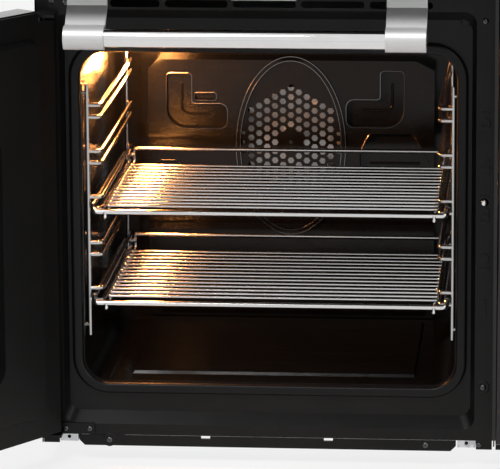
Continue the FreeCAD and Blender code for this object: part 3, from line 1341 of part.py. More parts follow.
def rounded_plan(x0, x1, y0, y1, radius, z, height):
    """Rounded rectangle in plan, drawn upwards."""
    flat = rounded_wire(x0, x1, y0, y1, radius, 0)
    flat.rotate(V(0, 0, 0), V(1, 0, 0), 90)
    flat.translate(V(0, 0, z))
    face = Part.Face(flat)
    box_shape = face.extrude(V(0, 0, height))
    bounds = box_shape.BoundBox
    box_shape.translate(V(0, (y0 + y1) / 2 - (bounds.YMin + bounds.YMax) / 2, 0))
    return box_shape


BURNERS = [(-330.0, -150.0, 72.0), (-330.0, 110.0, 92.0), (0.0, -20.0, 128.0),
           (330.0, -150.0, 92.0), (330.0, 110.0, 72.0)]


def burner_base(x, y, diameter):
    """Burner crown: a stepped ring with flame ports round its edge."""
    z = WELL_FLOOR
    radius = diameter / 2
    top = BURNER_HEIGHT
    foot_top = BURNER_FOOT_HEIGHT
    profile = [V(0, 0, 0), V(radius + BURNER_FOOT, 0, 0), V(radius + BURNER_FOOT / 2, 0, foot_top),
               V(radius, 0, foot_top + 1), V(radius - 2, 0, top), V(0, 0, top), V(0, 0, 0)]
    crown = Part.Face(Part.makePolygon(profile)).revolve(V(0, 0, 0), V(0, 0, 1), 360)
    ports = []
    for index in range(BURNER_PORTS):
        port = box(radius - BURNER_PORT_DEPTH, radius + 2, -BURNER_PORT_WIDTH / 2, BURNER_PORT_WIDTH / 2,
                   top - BURNER_PORT_DEPTH, top + 1)
        port.rotate(V(0, 0, 0), V(0, 0, 1), index * 360 / BURNER_PORTS)
        ports.append(port)
    crown = crown.cut(together(ports))
    crown.translate(V(x, y, z))
    return crown


def burner_cap(x, y, diameter):
    """Enamelled cap: a low disc with a rounded rim that sits on the crown."""
    z = WELL_FLOOR + BURNER_HEIGHT
    cap = cylinder(V(x, y, z), V(0, 0, 1), diameter - 2, BURNER_CAP)
    rim = [edge for edge in cap.Edges if edge.BoundBox.ZMin > z + BURNER_CAP - 0.5 and edge.BoundBox.XLength > 1]
    return cap.makeFillet(BURNER_CAP_ROUND, rim)


def pan_support(x, places):
    """Cast grid over one or two burners: a frame on four feet with fingers towards each burner."""
    deck = WELL_FLOOR
    half_x = GRID_WIDTH / 2
    y0 = GRID_FRONT
    y1 = GRID_BACK
    top = deck + GRID_HEIGHT
    bar = GRID_BAR
    bars = [box(x - half_x, x + half_x, y0, y0 + bar, top - bar, top),
            box(x - half_x, x + half_x, y1 - bar, y1, top - bar, top),
            box(x - half_x, x - half_x + bar, y0, y1, top - bar, top),
            box(x + half_x - bar, x + half_x, y0, y1, top - bar, top)]
    for foot_x in (x - half_x, x + half_x - bar):
        for foot_y in (y0, y1 - bar):
            bars.append(box(foot_x, foot_x + bar, foot_y, foot_y + bar, deck, top))
    middle = (y0 + y1) / 2
    if len(places) > 1:
        bars.append(box(x - half_x, x + half_x, middle - bar / 2, middle + bar / 2, top - bar, top))
    for burner_x, burner_y, diameter in places:
        tip = FINGER_TIP
        lower, upper = (y0, y1) if len(places) == 1 else ((y0, middle) if burner_y < middle else (middle, y1))
        bars.append(box(x - half_x, burner_x - tip, burner_y - bar / 2, burner_y + bar / 2, top - bar, top))
        bars.append(box(burner_x + tip, x + half_x, burner_y - bar / 2, burner_y + bar / 2, top - bar, top))
        bars.append(box(burner_x - bar / 2, burner_x + bar / 2, lower, burner_y - tip, top - bar, top))
        bars.append(box(burner_x - bar / 2, burner_x + bar / 2, burner_y + tip, upper, top - bar, top))
    return fuse(bars)


def foot(x, y):
    """Levelling foot: a pad on a threaded stem."""
    pad = cylinder(V(x, y, 0), V(0, 0, 1), FOOT_PAD, FOOT_PAD_HEIGHT)
    stem = cylinder(V(x, y, FOOT_PAD_HEIGHT), V(0, 0, 1), FOOT_STEM, FOOT_HEIGHT + FOOT_STEM_REACH)
    nut = cylinder(V(x, y, FOOT_PAD_HEIGHT), V(0, 0, 1), FOOT_NUT, FOOT_HEIGHT - FOOT_PAD_HEIGHT + SHEET)
    return fuse([pad, stem, nut])


def gas_inlet():
    """Half-inch gas pipe stub through the back cover, held by a collar and a nut."""
    x, z = GAS_PLACE
    outer_face = BACK - SHEET
    inner_face = outer_face - SHEET
    along = V(0, 1, 0)
    pipe = cylinder(V(x, inner_face - GAS_INSIDE, z), along, GAS_PIPE, GAS_INSIDE + SHEET + GAS_STUB)
    collar = cylinder(V(x, outer_face, z), along, GAS_PIPE + GAS_FLANGE, GAS_COLLAR)
    nut = cylinder(V(x, inner_face - GAS_COLLAR, z), along, GAS_PIPE + GAS_FLANGE - 2, GAS_COLLAR)
    bore = cylinder(V(x, inner_face - GAS_INSIDE / 2, z), along, GAS_BORE, GAS_INSIDE + SHEET + GAS_STUB)
    return fuse([pipe, collar, nut]).cut(bore)


def catch():
    """Barrel of the door's ball catch, and its ball on a stem."""
    place = V(CATCH_X, FRONT, up(CATCH_HEIGHT))
    barrel = cylinder(place, V(0, 1, 0), CATCH_BORE, CATCH_LENGTH)
    barrel = barrel.cut(cylinder(place - V(0, 1, 0), V(0, 1, 0), CATCH_BALL + CATCH_ROOM,
                                 CATCH_LENGTH - CATCH_RIM))
    flange = cylinder(place, V(0, -1, 0), CATCH_BORE + CATCH_RIM, CATCH_FLANGE)
    flange = flange.cut(cylinder(place + V(0, 1, 0), V(0, -1, 0), CATCH_BALL + CATCH_ROOM, CATCH_RIM))
    ball = Part.makeSphere(CATCH_BALL / 2, place - V(0, CATCH_PROUD - CATCH_BALL / 2, 0))
    stem = cylinder(place - V(0, CATCH_PROUD - CATCH_BALL / 2, 0), V(0, 1, 0), CATCH_BALL - 2, CATCH_STEM)
    return fuse([barrel, flange]), fuse([ball, stem])


def pan_screw(place, heading, diameter):
    """Head of a pan-head screw, rounded over at its rim."""
    height = diameter * HEAD_SHARE
    head = cylinder(place, heading, diameter, height)
    tip = place + heading * height
    rim = [edge for edge in head.Edges
           if all((vertex.Point - tip).dot(heading) > -0.01 for vertex in edge.Vertexes)]
    return head.makeFillet(height * 0.6, rim)


def frame_screws():
    """Heads that hold the front frames, their legs and the base bars."""
    screws = []
    for x in (CATCH_X, -CATCH_X):
        for z in (up(FRAME_SCREW_LOW), up(FRAME_SCREW_HIGH)):
            screws.append(pan_screw(V(x, FRONT, z), V(0, -1, 0), SCREW_HEAD))
    for centre in COLUMN_CENTRES:
        for side in (-1, 1):
            place = V(centre + side * BAR_SCREW_SPREAD, FRONT, up(BAR_SCREW_HEIGHT))
            screws.append(pan_screw(place, V(0, -1, 0), SCREW_HEAD))
    for x in (-LEG_SCREW_X, LEG_SCREW_X):
        screws.append(pan_screw(V(x, FRONT, up(LEG_SCREW_HEIGHT)), V(0, -1, 0), LEG_SCREW_HEAD))
    return screws


def write(name, *shapes):
    solids = []
    for shape in shapes:
        solids.extend(shape.Solids)
    whole = solids[0] if len(solids) == 1 else Part.makeCompound(solids)
    whole.exportStep(os.path.join("parts", name + ".step"))


def write_body():
    write("side_panel_left", side_panel(-1))
    write("side_panel_right", side_panel(1))
    write("base_tray", base_tray())
    write("rear_cover", rear_cover())
    write("centre_divider", centre_divider())
    write("front_frame_left", left_frame())
    write("front_frame_right", right_frame())
    write("base_bar", *[base_bar(centre) for centre in COLUMN_CENTRES])
    write("feet", *[foot(x, y) for x, y in FOOT_PLACES])
    write("gas_inlet", gas_inlet())
    write("frame_screws", *frame_screws())


def write_ovens():
    fan_z = up(FAN_CENTRE)
    main_bores = [cylinder(V(MAIN.centre, MAIN.back - 1, fan_z), V(0, 1, 0), SHAFT_DIAMETER + SHAFT_ROOM, 5)]
    for tail in element_tails(MAIN.centre, fan_z, MAIN.back):
        main_bores.append(cylinder(V(tail.x, MAIN.back - 1, tail.z), V(0, 1, 0), ELEMENT_DIAMETER, 5))
    write("main_liner", liner(MAIN, True).cut(together(main_bores)))
    write("main_seal", seal(MAIN))
    write("fan_cover", fan_cover())
    write("fan_impeller", impeller(MAIN.centre, fan_z, MAIN.back, MAIN.back + SHEET + MOTOR_STANDOFF))
    write("fan_motor", fan_motor(MAIN.centre, fan_z, MAIN.back))
    write("ring_element", ring_element(MAIN.centre, fan_z, MAIN.back))
    write("side_racks", *[side_rack(MAIN, side, RACK_LEVELS, RACK_BEND) for side in (-1, 1)])
    write("shelf_upper", wire_shelf(MAIN, 2))
    write("shelf_lower", wire_shelf(MAIN, 0))
    write("oven_lamp", *oven_lamp())
    grill_parts = grill_element(GRILL)
    grill_bores = together(grill_parts[1:])
    write("grill_liner", liner(GRILL, False).cut(grill_bores).fuse(together(grill_rails())))
    write("grill_pan", grill_pan())
    write("grill_seal", seal(GRILL))
    write("grill_element", *grill_parts)
    write("tall_liner", liner(TALL, True))
    write("tall_seal", seal(TALL))
    write("tall_racks", *[side_rack(TALL, side, TALL_LEVELS, 0) for side in (-1, 1)])
    write("tall_shelves", *[wire_shelf(TALL, level) for level in TALL_SHELVES])


def write_doors():
    z0 = up(DOOR_BOTTOM)
    pan, inner, panes = side_door(MAIN, -1, MAIN_AXIS_X, z0, up(DOOR_TOP),
                                  up(RECESS_TOP) - RECESS_HEAD - MAIN_PLUG_HEAD)
    bar_z = up(DOOR_TOP) - SIDE_BAR_DROP
    write("main_door_skin", open_main(pan))
    write("main_door_inner", open_main(inner))
    write("main_door_glass", *[open_main(pane) for pane in panes])
    write("main_handle", *[open_main(part) for part in handle(MAIN.centre, bar_z)])
    hinges = side_hinges(-1, MAIN_AXIS_X, z0, up(DOOR_TOP), HINGE_LEAF_HIGH)
    pan, inner, panes = side_door(TALL, 1, TALL_AXIS_X, z0, up(UPPER_DOOR_TOP),
                                  up(UPPER_RECESS_TOP) - RECESS_HEAD - PLUG_HEAD)
    bar_z = up(UPPER_DOOR_TOP) - SIDE_BAR_DROP
    write("tall_door_skin", pan)
    write("tall_door_inner", inner)
    write("tall_door_glass", *panes)
    write("tall_handle", *handle(TALL.centre, bar_z))
    hinges += side_hinges(1, TALL_AXIS_X, z0, up(UPPER_DOOR_TOP), HINGE_LEAF_LOW)
    write("side_hinges", *hinges)
    pan, inner, panes = grill_door()
    bar_z = up(UPPER_DOOR_TOP) - BAR_DROP
    write("grill_door_skin", open_grill(pan))
    write("grill_door_inner", open_grill(inner))
    write("grill_door_glass", *[open_grill(pane) for pane in panes])
    write("grill_handle", *[open_grill(part) for part in handle(GRILL.centre, bar_z)])
    write("grill_hinges", *grill_hinges())
    barrel, ball = catch()
    write("catch_barrel", barrel)
    write("catch_ball", ball)


def write_controls():
    write("control_fascia", fascia())
    write("taps_and_switch", *taps(), button_switch())
    for number, x in enumerate(knob_places(), 1):
        write("knob_" + str(number), knob(x))
    write("ignition_button", button())
    write("hob_tray", hob_tray())
    write("burner_crowns", *[burner_base(*place) for place in BURNERS])
    write("burner_caps", *[burner_cap(*place) for place in BURNERS])
    grids = [(-330.0, BURNERS[0:2]), (0.0, BURNERS[2:3]), (330.0, BURNERS[3:5])]
    write("pan_supports", *[pan_support(x, places) for x, places in grids])


def main():
    os.makedirs("parts", exist_ok=True)
    write_body()
    write_ovens()
    write_doors()
    write_controls()


main()
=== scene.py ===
import json
import math
import bmesh
import bpy
from mathutils import Matrix, Vector


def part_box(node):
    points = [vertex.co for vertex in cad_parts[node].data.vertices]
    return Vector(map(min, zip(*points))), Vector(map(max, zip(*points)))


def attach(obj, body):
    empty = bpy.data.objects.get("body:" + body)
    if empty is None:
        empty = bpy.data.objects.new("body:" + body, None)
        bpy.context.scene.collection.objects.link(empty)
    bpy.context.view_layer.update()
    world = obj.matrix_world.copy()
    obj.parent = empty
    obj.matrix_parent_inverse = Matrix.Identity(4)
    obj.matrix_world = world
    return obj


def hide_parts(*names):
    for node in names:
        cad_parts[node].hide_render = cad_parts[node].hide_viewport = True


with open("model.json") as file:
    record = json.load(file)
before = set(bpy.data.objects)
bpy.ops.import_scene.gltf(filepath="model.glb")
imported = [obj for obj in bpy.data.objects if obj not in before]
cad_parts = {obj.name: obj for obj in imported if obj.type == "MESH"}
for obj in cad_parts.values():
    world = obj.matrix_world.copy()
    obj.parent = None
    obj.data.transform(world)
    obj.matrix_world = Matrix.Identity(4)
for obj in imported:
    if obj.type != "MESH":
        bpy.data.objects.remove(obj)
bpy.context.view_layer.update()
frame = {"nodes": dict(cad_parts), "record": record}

# Metres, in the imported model's own frame: +X right, -Y out of the front, +Z up.
bodyOf = {node: body for body, nodes in frame["record"]["behaviour"]["bodies"].items() for node in nodes}
slotOf = {part["node"]: part["material_slot"] for part in frame["record"]["subparts"]}
scene = bpy.context.scene
scene.view_settings.view_transform = "Standard"
print("frame loaded:", len(frame["nodes"]), "nodes")


# One way to add any node: its settings come first, then the values or links of its sockets.
def addNode(tree, kind, settings=None, inputs=None):
    node = tree.nodes.new(kind)
    for key, value in (settings or {}).items():
        if key == "stops":
            while len(node.color_ramp.elements) < len(value):
                node.color_ramp.elements.new(0.5)
            for element, (position, colour) in zip(node.color_ramp.elements, value):
                element.position, element.color = position, colour
        else:
            setattr(node, key, value)
    for key, value in (inputs or {}).items():
        for part in value if isinstance(value, list) else [value]:
            if isinstance(part, Wire):
                tree.links.new(part.socket, node.inputs[key])
            else:
                node.inputs[key].default_value = part
    return node


# A socket that adds Math nodes when it is used in a sum
class Wire:
    def __init__(self, tree, socket):
        self.tree, self.socket = tree, socket

    def mix(self, operation, first, second=0.0):
        node = addNode(self.tree, "ShaderNodeMath", {"operation": operation}, {0: first, 1: second})
        return Wire(self.tree, node.outputs[0])

    def __add__(self, other): return self.mix("ADD", self, other)
    def __radd__(self, other): return self.mix("ADD", other, self)
    def __sub__(self, other): return self.mix("SUBTRACT", self, other)
    def __rsub__(self, other): return self.mix("SUBTRACT", other, self)
    def __mul__(self, other): return self.mix("MULTIPLY", self, other)
    def __rmul__(self, other): return self.mix("MULTIPLY", other, self)
    def __truediv__(self, other): return self.mix("DIVIDE", self, other)
    def __gt__(self, other): return self.mix("GREATER_THAN", self, other)


# A material: a Principled shader and the helpers that feed it
class Finish:
    def __init__(self, name, fixed=None):
        self.material = bpy.data.materials.new(name)
        self.material.use_nodes = True
        self.tree = self.material.node_tree
        self.shader = self.tree.nodes["Principled BSDF"]
        for key, value in (fixed or {}).items():
            self.shader.inputs[key].default_value = value
        self.place = self.node("TexCoord", output="Object")

    def node(self, kind, settings=None, inputs=None, output=0):
        made = addNode(self.tree, "ShaderNode" + kind, settings, inputs)
        return Wire(self.tree, made.outputs[output])

    def feed(self, socket, wire):
        self.tree.links.new(wire.socket, self.shader.inputs[socket])
        return self

    def noise(self, scale, detail=3.0, rough=0.55, vector=None):
        sizes = {"Vector": vector or self.place, "Scale": scale, "Detail": detail, "Roughness": rough}
        return self.node("TexNoise", None, sizes)

    def stretch(self, scale):
        return self.node("Mapping", None, {"Vector": self.place, "Scale": scale})

    def ramp(self, wire, stops):
        full = [(at, tone if isinstance(tone, tuple) else (tone,) * 3 + (1,)) for at, tone in stops]
        return self.node("ValToRGB", {"stops": full}, {"Fac": wire}, "Color")

    def blend(self, factor, first, second):
        colours = [value if isinstance(value, Wire) else tuple(value) + (1,) * (4 - len(value))
                   for value in (first, second)]
        return self.node("Mix", {"data_type": "RGBA"}, {0: factor, 6: colours[0], 7: colours[1]}, 2)

    def bump(self, height, strength, distance):
        return self.feed("Normal", self.node("Bump", None, {"Height": height, "Strength": strength,
                                                            "Distance": distance}))


# Edges sharper than these degrees stay sharp, and corners nearer than a weld are one
crease = {"sheet": 32.0, "grown": 35.0, "turned": 40.0}
weld = {"sheet": 1e-5, "turned": 1e-6}


# A Geometry Nodes tree with named sizes, run once on a list of points and kept as a plain mesh
class Growth:
    def __init__(self, name, **sizes):
        self.tree = bpy.data.node_groups.new(name, "GeometryNodeTree")
        self.tree.interface.new_socket("Points", in_out="INPUT", socket_type="NodeSocketGeometry")
        self.keys = {}
        for key, value in sizes.items():
            kind = "NodeSocketInt" if isinstance(value, int) else "NodeSocketFloat"
            socket = self.tree.interface.new_socket(key, in_out="INPUT", socket_type=kind)
            socket.default_value = value
            self.keys[key] = socket.identifier
        self.tree.interface.new_socket("Geometry", in_out="OUTPUT", socket_type="NodeSocketGeometry")
        self.entry = self.tree.nodes.new("NodeGroupInput")
        self.sizes = sizes

    def size(self, key):
        return Wire(self.tree, self.entry.outputs[key])

    def add(self, kind, settings=None, inputs=None, output=0):
        full = kind if kind.startswith("Shader") else "GeometryNode" + kind
        return Wire(self.tree, addNode(self.tree, full, settings, inputs).outputs[output])

    def vector(self, x, y, z):
        return self.add("ShaderNodeCombineXYZ", None, {0: x, 1: y, 2: z})

    def circle(self, corners, radius):
        return self.add("CurvePrimitiveCircle", {"mode": "RADIUS"}, {"Resolution": corners, "Radius": radius})

    def place(self, shape):
        return self.add("InstanceOnPoints", None, {"Points": self.size("Points"), "Instance": shape})

    def close(self, shape, finish):
        real = self.add("RealizeInstances", None, {0: shape})
        coated = self.add("SetMaterial", None, {0: real, "Material": finishes[finish].material})
        addNode(self.tree, "NodeGroupOutput", None, {0: coated})

    def grow(self, name, points, body, slot, nodes=(), edges=(), **values):
        seed = bpy.data.meshes.new(name + "_points")
        seed.from_pydata([tuple(point) for point in points], list(edges), [])
        holder = bpy.data.objects.new(name + "_seed", seed)
        scene.collection.objects.link(holder)
        modifier = holder.modifiers.new("grow", "NODES")
        modifier.node_group = self.tree
        for key, value in {**self.sizes, **values}.items():
            modifier[self.keys[key]] = value
        ready = holder.evaluated_get(bpy.context.evaluated_depsgraph_get())
        mesh = bpy.data.meshes.new_from_object(ready)
        holder.modifiers.remove(modifier)
        bpy.data.objects.remove(holder)
        mesh.name = name
        smoothMesh(mesh, crease["grown"])
        return addPiece(name, mesh, body, None, slot, *nodes)


# Merges doubles, smooths the faces and keeps the edges that are sharper than the angle
def settle(bm, angle=crease["sheet"]):
    bmesh.ops.remove_doubles(bm, verts=bm.verts, dist=weld["sheet"])
    limit = math.radians(angle)
    for face in bm.faces:
        face.smooth = True
    for edge in bm.edges:
        edge.smooth = len(edge.link_faces) == 2 and edge.calc_face_angle(0) < limit


def smoothMesh(mesh, angle=crease["sheet"]):
    bm = bmesh.new()
    bm.from_mesh(mesh)
    settle(bm, angle)
    bm.to_mesh(mesh)
    bm.free()


def meshFrom(bm, name, angle=None):
    if angle:
        settle(bm, angle)
    mesh = bpy.data.meshes.new(name)
    bm.to_mesh(mesh)
    bm.free()
    return mesh


# One finished object: it rides a body, may take a finish and may take the place of CAD nodes
def addPiece(name, mesh, body, finish, slot, *nodes):
    piece = bpy.data.objects.new(name, mesh)
    scene.collection.objects.link(piece)
    if finish:
        mesh.materials.clear()
        mesh.materials.append(finishes[finish].material)
    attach(piece, body)
    if nodes:
        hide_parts(*nodes)
    return piece


# Finishes: one for each real surface, and two lighter plated ones (edge, glint) that paint highlights on rims
# and edges
enamel = {"frameTone": 0.006, "cavityTone": 0.003, "doorTone": 0.005, "panelTone": 0.0035,
          "ripple": 55, "orangePeel": 420, "fleck": 2600, "fleckFrom": 0.62}
# Rim and edge tones are lighter plated tones that paint highlights on hole rims, number outlines and dish
# edges
metalLook = {"wireTone": 0.62, "rackTone": 0.42, "barTone": 0.68, "strapTone": 0.60, "screwTone": 0.10,
             "rimHighlightTone": 0.03, "edgeHighlightTone": 0.20, "brushLength": 6, "brushFine": 900}


def enamelFinish(name, tone, rough, coat, speckle=0.0, ripple=0.25, shine=0.5):
    look = Finish(name, {"Coat Roughness": 0.06, "Specular IOR Level": shine})
    cloud = look.noise(enamel["ripple"] * 0.3, 4)
    fleck = look.noise(enamel["fleck"], 1, 0.4)
    spots = (fleck > enamel["fleckFrom"]) * speckle
    shade = look.ramp(cloud, [(0.3, tone * 0.8), (0.7, tone * 1.25)])
    look.feed("Base Color", look.blend(spots, shade, (tone * 7 + 0.03,) * 3))
    look.feed("Coat Weight", cloud * 0.06 + coat)
    look.feed("Roughness", look.noise(enamel["ripple"], 3) * 0.12 + (rough - 0.06))
    peel = look.noise(enamel["orangePeel"], 2) * 0.35 + look.noise(enamel["ripple"] * 0.5, 2) * ripple * 4
    return look.bump(peel, 0.12, 0.0008)


def tinted(tone, share, tint):
    return tuple(min(1.0, tone * share * part) for part in tint)


def brushedFinish(name, tone, rough, axis=0, tint=(1.0, 1.0, 1.0), metallic=1.0):
    look = Finish(name, {"Metallic": metallic, "Anisotropic": 0.4})
    scale = [metalLook["brushFine"]] * 3
    scale[axis] = metalLook["brushLength"]
    grain = look.noise(1.0, 4, 0.65, look.stretch(tuple(scale)))
    cloud = look.noise(14, 3)
    dull, bright = tinted(tone, 0.86, tint), tinted(tone, 1.1, tint)
    look.feed("Base Color", look.blend(grain * 0.7 + cloud * 0.3, dull, bright))
    look.feed("Roughness", grain * 0.16 + (rough - 0.08))
    return look.bump(grain, 0.10, 0.0002)


def platedFinish(name, tone, rough, tint=(1.0, 1.0, 1.0)):
    look = Finish(name, {"Metallic": 1.0})
    smear = look.noise(35, 4)
    look.feed("Base Color", look.blend(smear, tinted(tone, 0.9, tint), tinted(tone, 1.08, tint)))
    look.feed("Roughness", smear * 0.08 + (rough - 0.03))
    return look.bump(look.noise(180, 2), 0.05, 0.0003)


def galvanisedFinish(name):
    look = Finish(name, {"Metallic": 1.0})
    cells = look.node("TexVoronoi", {"feature": "F1"}, {"Vector": look.place, "Scale": 130.0}, "Color")
    flake = look.node("SeparateColor", None, {"Color": cells})
    look.feed("Base Color", look.ramp(flake, [(0.0, (0.42, 0.43, 0.45, 1)), (1.0, (0.66, 0.67, 0.68, 1))]))
    look.feed("Roughness", look.noise(60, 3) * 0.2 + 0.28)
    return look.bump(look.noise(300, 2), 0.08, 0.0004)


def castFinish(name, tone):
    look = Finish(name)
    grit = look.noise(1500, 3, 0.7)
    look.feed("Base Color", look.ramp(look.noise(40, 4), [(0.3, tone * 0.75), (0.7, tone * 1.3)]))
    look.feed("Roughness", grit * 0.25 + 0.42)
    return look.bump(grit + look.noise(220, 2) * 1.5, 0.35, 0.0006)


def mouldedFinish(name, colour, rough, grain=900, shine=0.5):
    look = Finish(name, {"Specular IOR Level": shine})
    fine = look.noise(grain, 2)
    look.feed("Base Color", look.blend(look.noise(25, 3), tinted(0.85, 1, colour), tinted(1.2, 1, colour)))
    look.feed("Roughness", fine * 0.12 + (rough - 0.06))
    return look.bump(fine, 0.12, 0.0003)


def glassFinish(name, tone, alpha):
    look = Finish(name, {"IOR": 1.5, "Coat Weight": 0.5, "Coat Roughness": 0.02})
    haze = look.noise(9, 3)
    look.feed("Base Color", look.ramp(haze, [(0.3, tone * 0.8), (0.7, tone * 1.2)]))
    look.feed("Roughness", haze * 0.04 + 0.03)
    return look.feed("Alpha", haze * 0.04 + (alpha - 0.02))


def lampFinish(name):
    look = Finish(name, {"Emission Strength": 0.7})
    frost = look.noise(260, 3)
    look.feed("Base Color", look.ramp(frost, [(0.3, (0.95, 0.85, 0.65, 1)), (0.7, (1.0, 0.93, 0.8, 1))]))
    look.feed("Emission Color", look.ramp(frost, [(0.3, (1.0, 0.62, 0.26, 1)), (0.7, (1.0, 0.74, 0.4, 1))]))
    return look.feed("Roughness", frost * 0.2 + 0.2)


finishes = {
    "frame": enamelFinish("frame_enamel", enamel["frameTone"], 0.32, 0.0, shine=0.15),
    "cavity": enamelFinish("oven_enamel", enamel["cavityTone"], 0.15, 0.0, 0.12, ripple=0.6, shine=0.16),
    "door": enamelFinish("door_enamel", enamel["doorTone"], 0.14, 0.15, shine=0.3),
    "panel": enamelFinish("door_panel_enamel", enamel["panelTone"], 0.40, 0.0, 0.25, shine=0.1),
    "seal": mouldedFinish("seal_silicone", (0.005, 0.005, 0.0054), 0.32, shine=0.16),
    "wire": platedFinish("bright_wire", metalLook["wireTone"], 0.14),
    "rack": platedFinish("rack_wire", metalLook["rackTone"], 0.16),
    "bar": platedFinish("bright_bar", metalLook["barTone"], 0.05),
    "strap": brushedFinish("brushed_strap", metalLook["strapTone"], 0.42, axis=0, metallic=0.4),
    "steel": brushedFinish("plain_steel", 0.50, 0.34, axis=2),
    "knob": brushedFinish("knob_steel", 0.58, 0.28, axis=0),
    "galvanised": galvanisedFinish("galvanised_sheet"),
    "aluminium": brushedFinish("spun_aluminium", 0.72, 0.34, axis=1),
    "cast": castFinish("cast_enamel", 0.022),
    "plastic": mouldedFinish("black_plastic", (0.02, 0.02, 0.021), 0.42),
    "print": mouldedFinish("white_print", (0.62, 0.62, 0.60), 0.5),
    "brass": platedFinish("plain_brass", 0.85, 0.26, (0.92, 0.70, 0.36)),
    "darkGlass": glassFinish("tinted_glass", 0.012, 0.93),
    "lamp": lampFinish("lamp_glass"),
    "screw": platedFinish("dark_screw", metalLook["screwTone"], 0.30),
    # edge: a lighter plated tone, a painted highlight on the air-hole rims and the shelf-number outlines
    "edge": platedFinish("painted_rim_highlight", metalLook["rimHighlightTone"], 0.3),
    # glint: a bright plated tone on thin tubes, a painted highlight along the fan cover's dish and oval edges
    "glint": platedFinish("painted_edge_highlight", metalLook["edgeHighlightTone"], 0.22),
}
print("finishes made:", len(finishes))


# Finished copies of the CAD nodes, with merged corners and smooth curves
nodeFinish = {
    "side_panel_left": "door", "side_panel_right": "door",
    "base_tray": "galvanised", "rear_cover": "galvanised",
    # The centre divider is galvanised, but takes the black door enamel: a dark sheet that paints the shade in
    # the gap between the two columns
    "centre_divider": "door", "front_frame_left": "frame", "front_frame_right": "frame", "base_bar": "frame",
    "feet": "plastic", "gas_inlet": "brass", "main_liner": "cavity", "main_seal": "seal",
    "fan_cover": "cavity", "fan_impeller": "aluminium", "fan_motor": "steel", "ring_element": "steel",
    "side_racks": "rack", "shelf_upper": "wire", "shelf_lower": "wire",
    "grill_liner": "cavity", "grill_pan": "cavity", "grill_seal": "seal", "grill_element": "steel",
    "tall_liner": "cavity", "tall_seal": "seal", "tall_racks": "rack", "tall_shelves": "wire",
    "main_door_skin": "door", "main_door_inner": "panel", "main_door_glass": "darkGlass",
    "side_hinges": "frame",
    "tall_door_skin": "door", "tall_door_inner": "panel", "tall_door_glass": "darkGlass",
    "grill_door_skin": "door", "grill_door_inner": "panel", "grill_door_glass": "darkGlass",
    "grill_hinges": "steel", "catch_barrel": "frame", "catch_ball": "bar",
    "control_fascia": "door", "taps_and_switch": "brass", "ignition_button": "plastic",
    "hob_tray": "door",
    "burner_crowns": "aluminium", "burner_caps": "cast", "pan_supports": "cast",
}
for knobNumber in range(1, 9):
    nodeFinish["knob_%d" % knobNumber] = "knob"


def dressNode(node):
    mesh = frame["nodes"][node].data.copy()
    mesh.name = node + "_finished"
    smoothMesh(mesh)
    # The centre divider takes the black enamel slot as well, as painted shade in the gap between the columns
    slot = "enamel_black" if node == "centre_divider" else slotOf[node]
    return addPiece(node + "_finished", mesh, bodyOf[node], nodeFinish[node], slot, node)


# The separate solids of a node, largest first, each as a set of faces on a merged copy
def solidsOf(node):
    bm = bmesh.new()
    bm.from_mesh(frame["nodes"][node].data)
    bmesh.ops.remove_doubles(bm, verts=bm.verts, dist=weld["sheet"])
    left, found = set(bm.faces), []
    while left:
        group, edge = set(), [left.pop()]
        while edge:
            face = edge.pop()
            group.add(face)
            near = {other for side in face.edges for other in side.link_faces} & left
            left -= near
            edge.extend(near)
        found.append(group)
    return bm, sorted(found, key=lambda group: -cornersOf(group)[2])


def cornersOf(group):
    points = [vertex.co for face in group for vertex in face.verts]
    low = Vector([min(point[axis] for point in points) for axis in range(3)])
    high = Vector([max(point[axis] for point in points) for axis in range(3)])
    return low, high, (high - low).length


# Splits a node by its solids into two finishes: pick says which solids get the first one
def splitNode(node, pick, first, second):
    for number, (label, finish) in enumerate((first, second)):
        bm, groups = solidsOf(node)
        unwanted = []
        for place, group in enumerate(groups):
            if pick(place, *cornersOf(group)) != (number == 0):
                unwanted.extend(group)
        bmesh.ops.delete(bm, geom=unwanted, context="FACES")
        mesh = meshFrom(bm, node + label, crease["sheet"])
        addPiece(node + label, mesh, bodyOf[node], finish, slotOf[node], *([node] if number == 0 else []))


for node in sorted(nodeFinish):
    dressNode(node)
handleNodes = ("main_handle", "grill_handle", "tall_handle")
for handleNode in handleNodes:
    splitNode(handleNode, lambda place, *corners: place == 0, ("_bar", "bar"), ("_straps", "strap"))
lampSplit = {"glassHigh": 0.006}  # the glass is higher than this, its ring lower
splitNode("oven_lamp", lambda place, low, high, size: high.z - low.z > lampSplit["glassHigh"],
          ("_glass", "lamp"), ("_ring", "steel"))
print("nodes dressed:", len(nodeFinish) + len(handleNodes) + 1)


# Screws: domed heads with a cross recess, facing out of the front
screwLook = {"radius": 0.0035, "rise": 0.0022, "turn": 0.5,
             "slotWidth": 0.0011, "slotLength": 0.0044, "slotHigh": 0.01, "slotFloor": 0.35,
             "frameWide": (0.0065, 0.009), "legWide": (0.004, 0.0065),
             "legRadius": 0.00275, "legRise": 0.0018}
hingeScrews = {"radius": 0.0031, "face": -0.303,
               "spots": [(-0.481, 0.516), (-0.4665, 0.5141), (-0.4731, 0.0371), (-0.4463, 0.0371),
                         (0.4731, 0.0371), (0.4463, 0.0371)]}


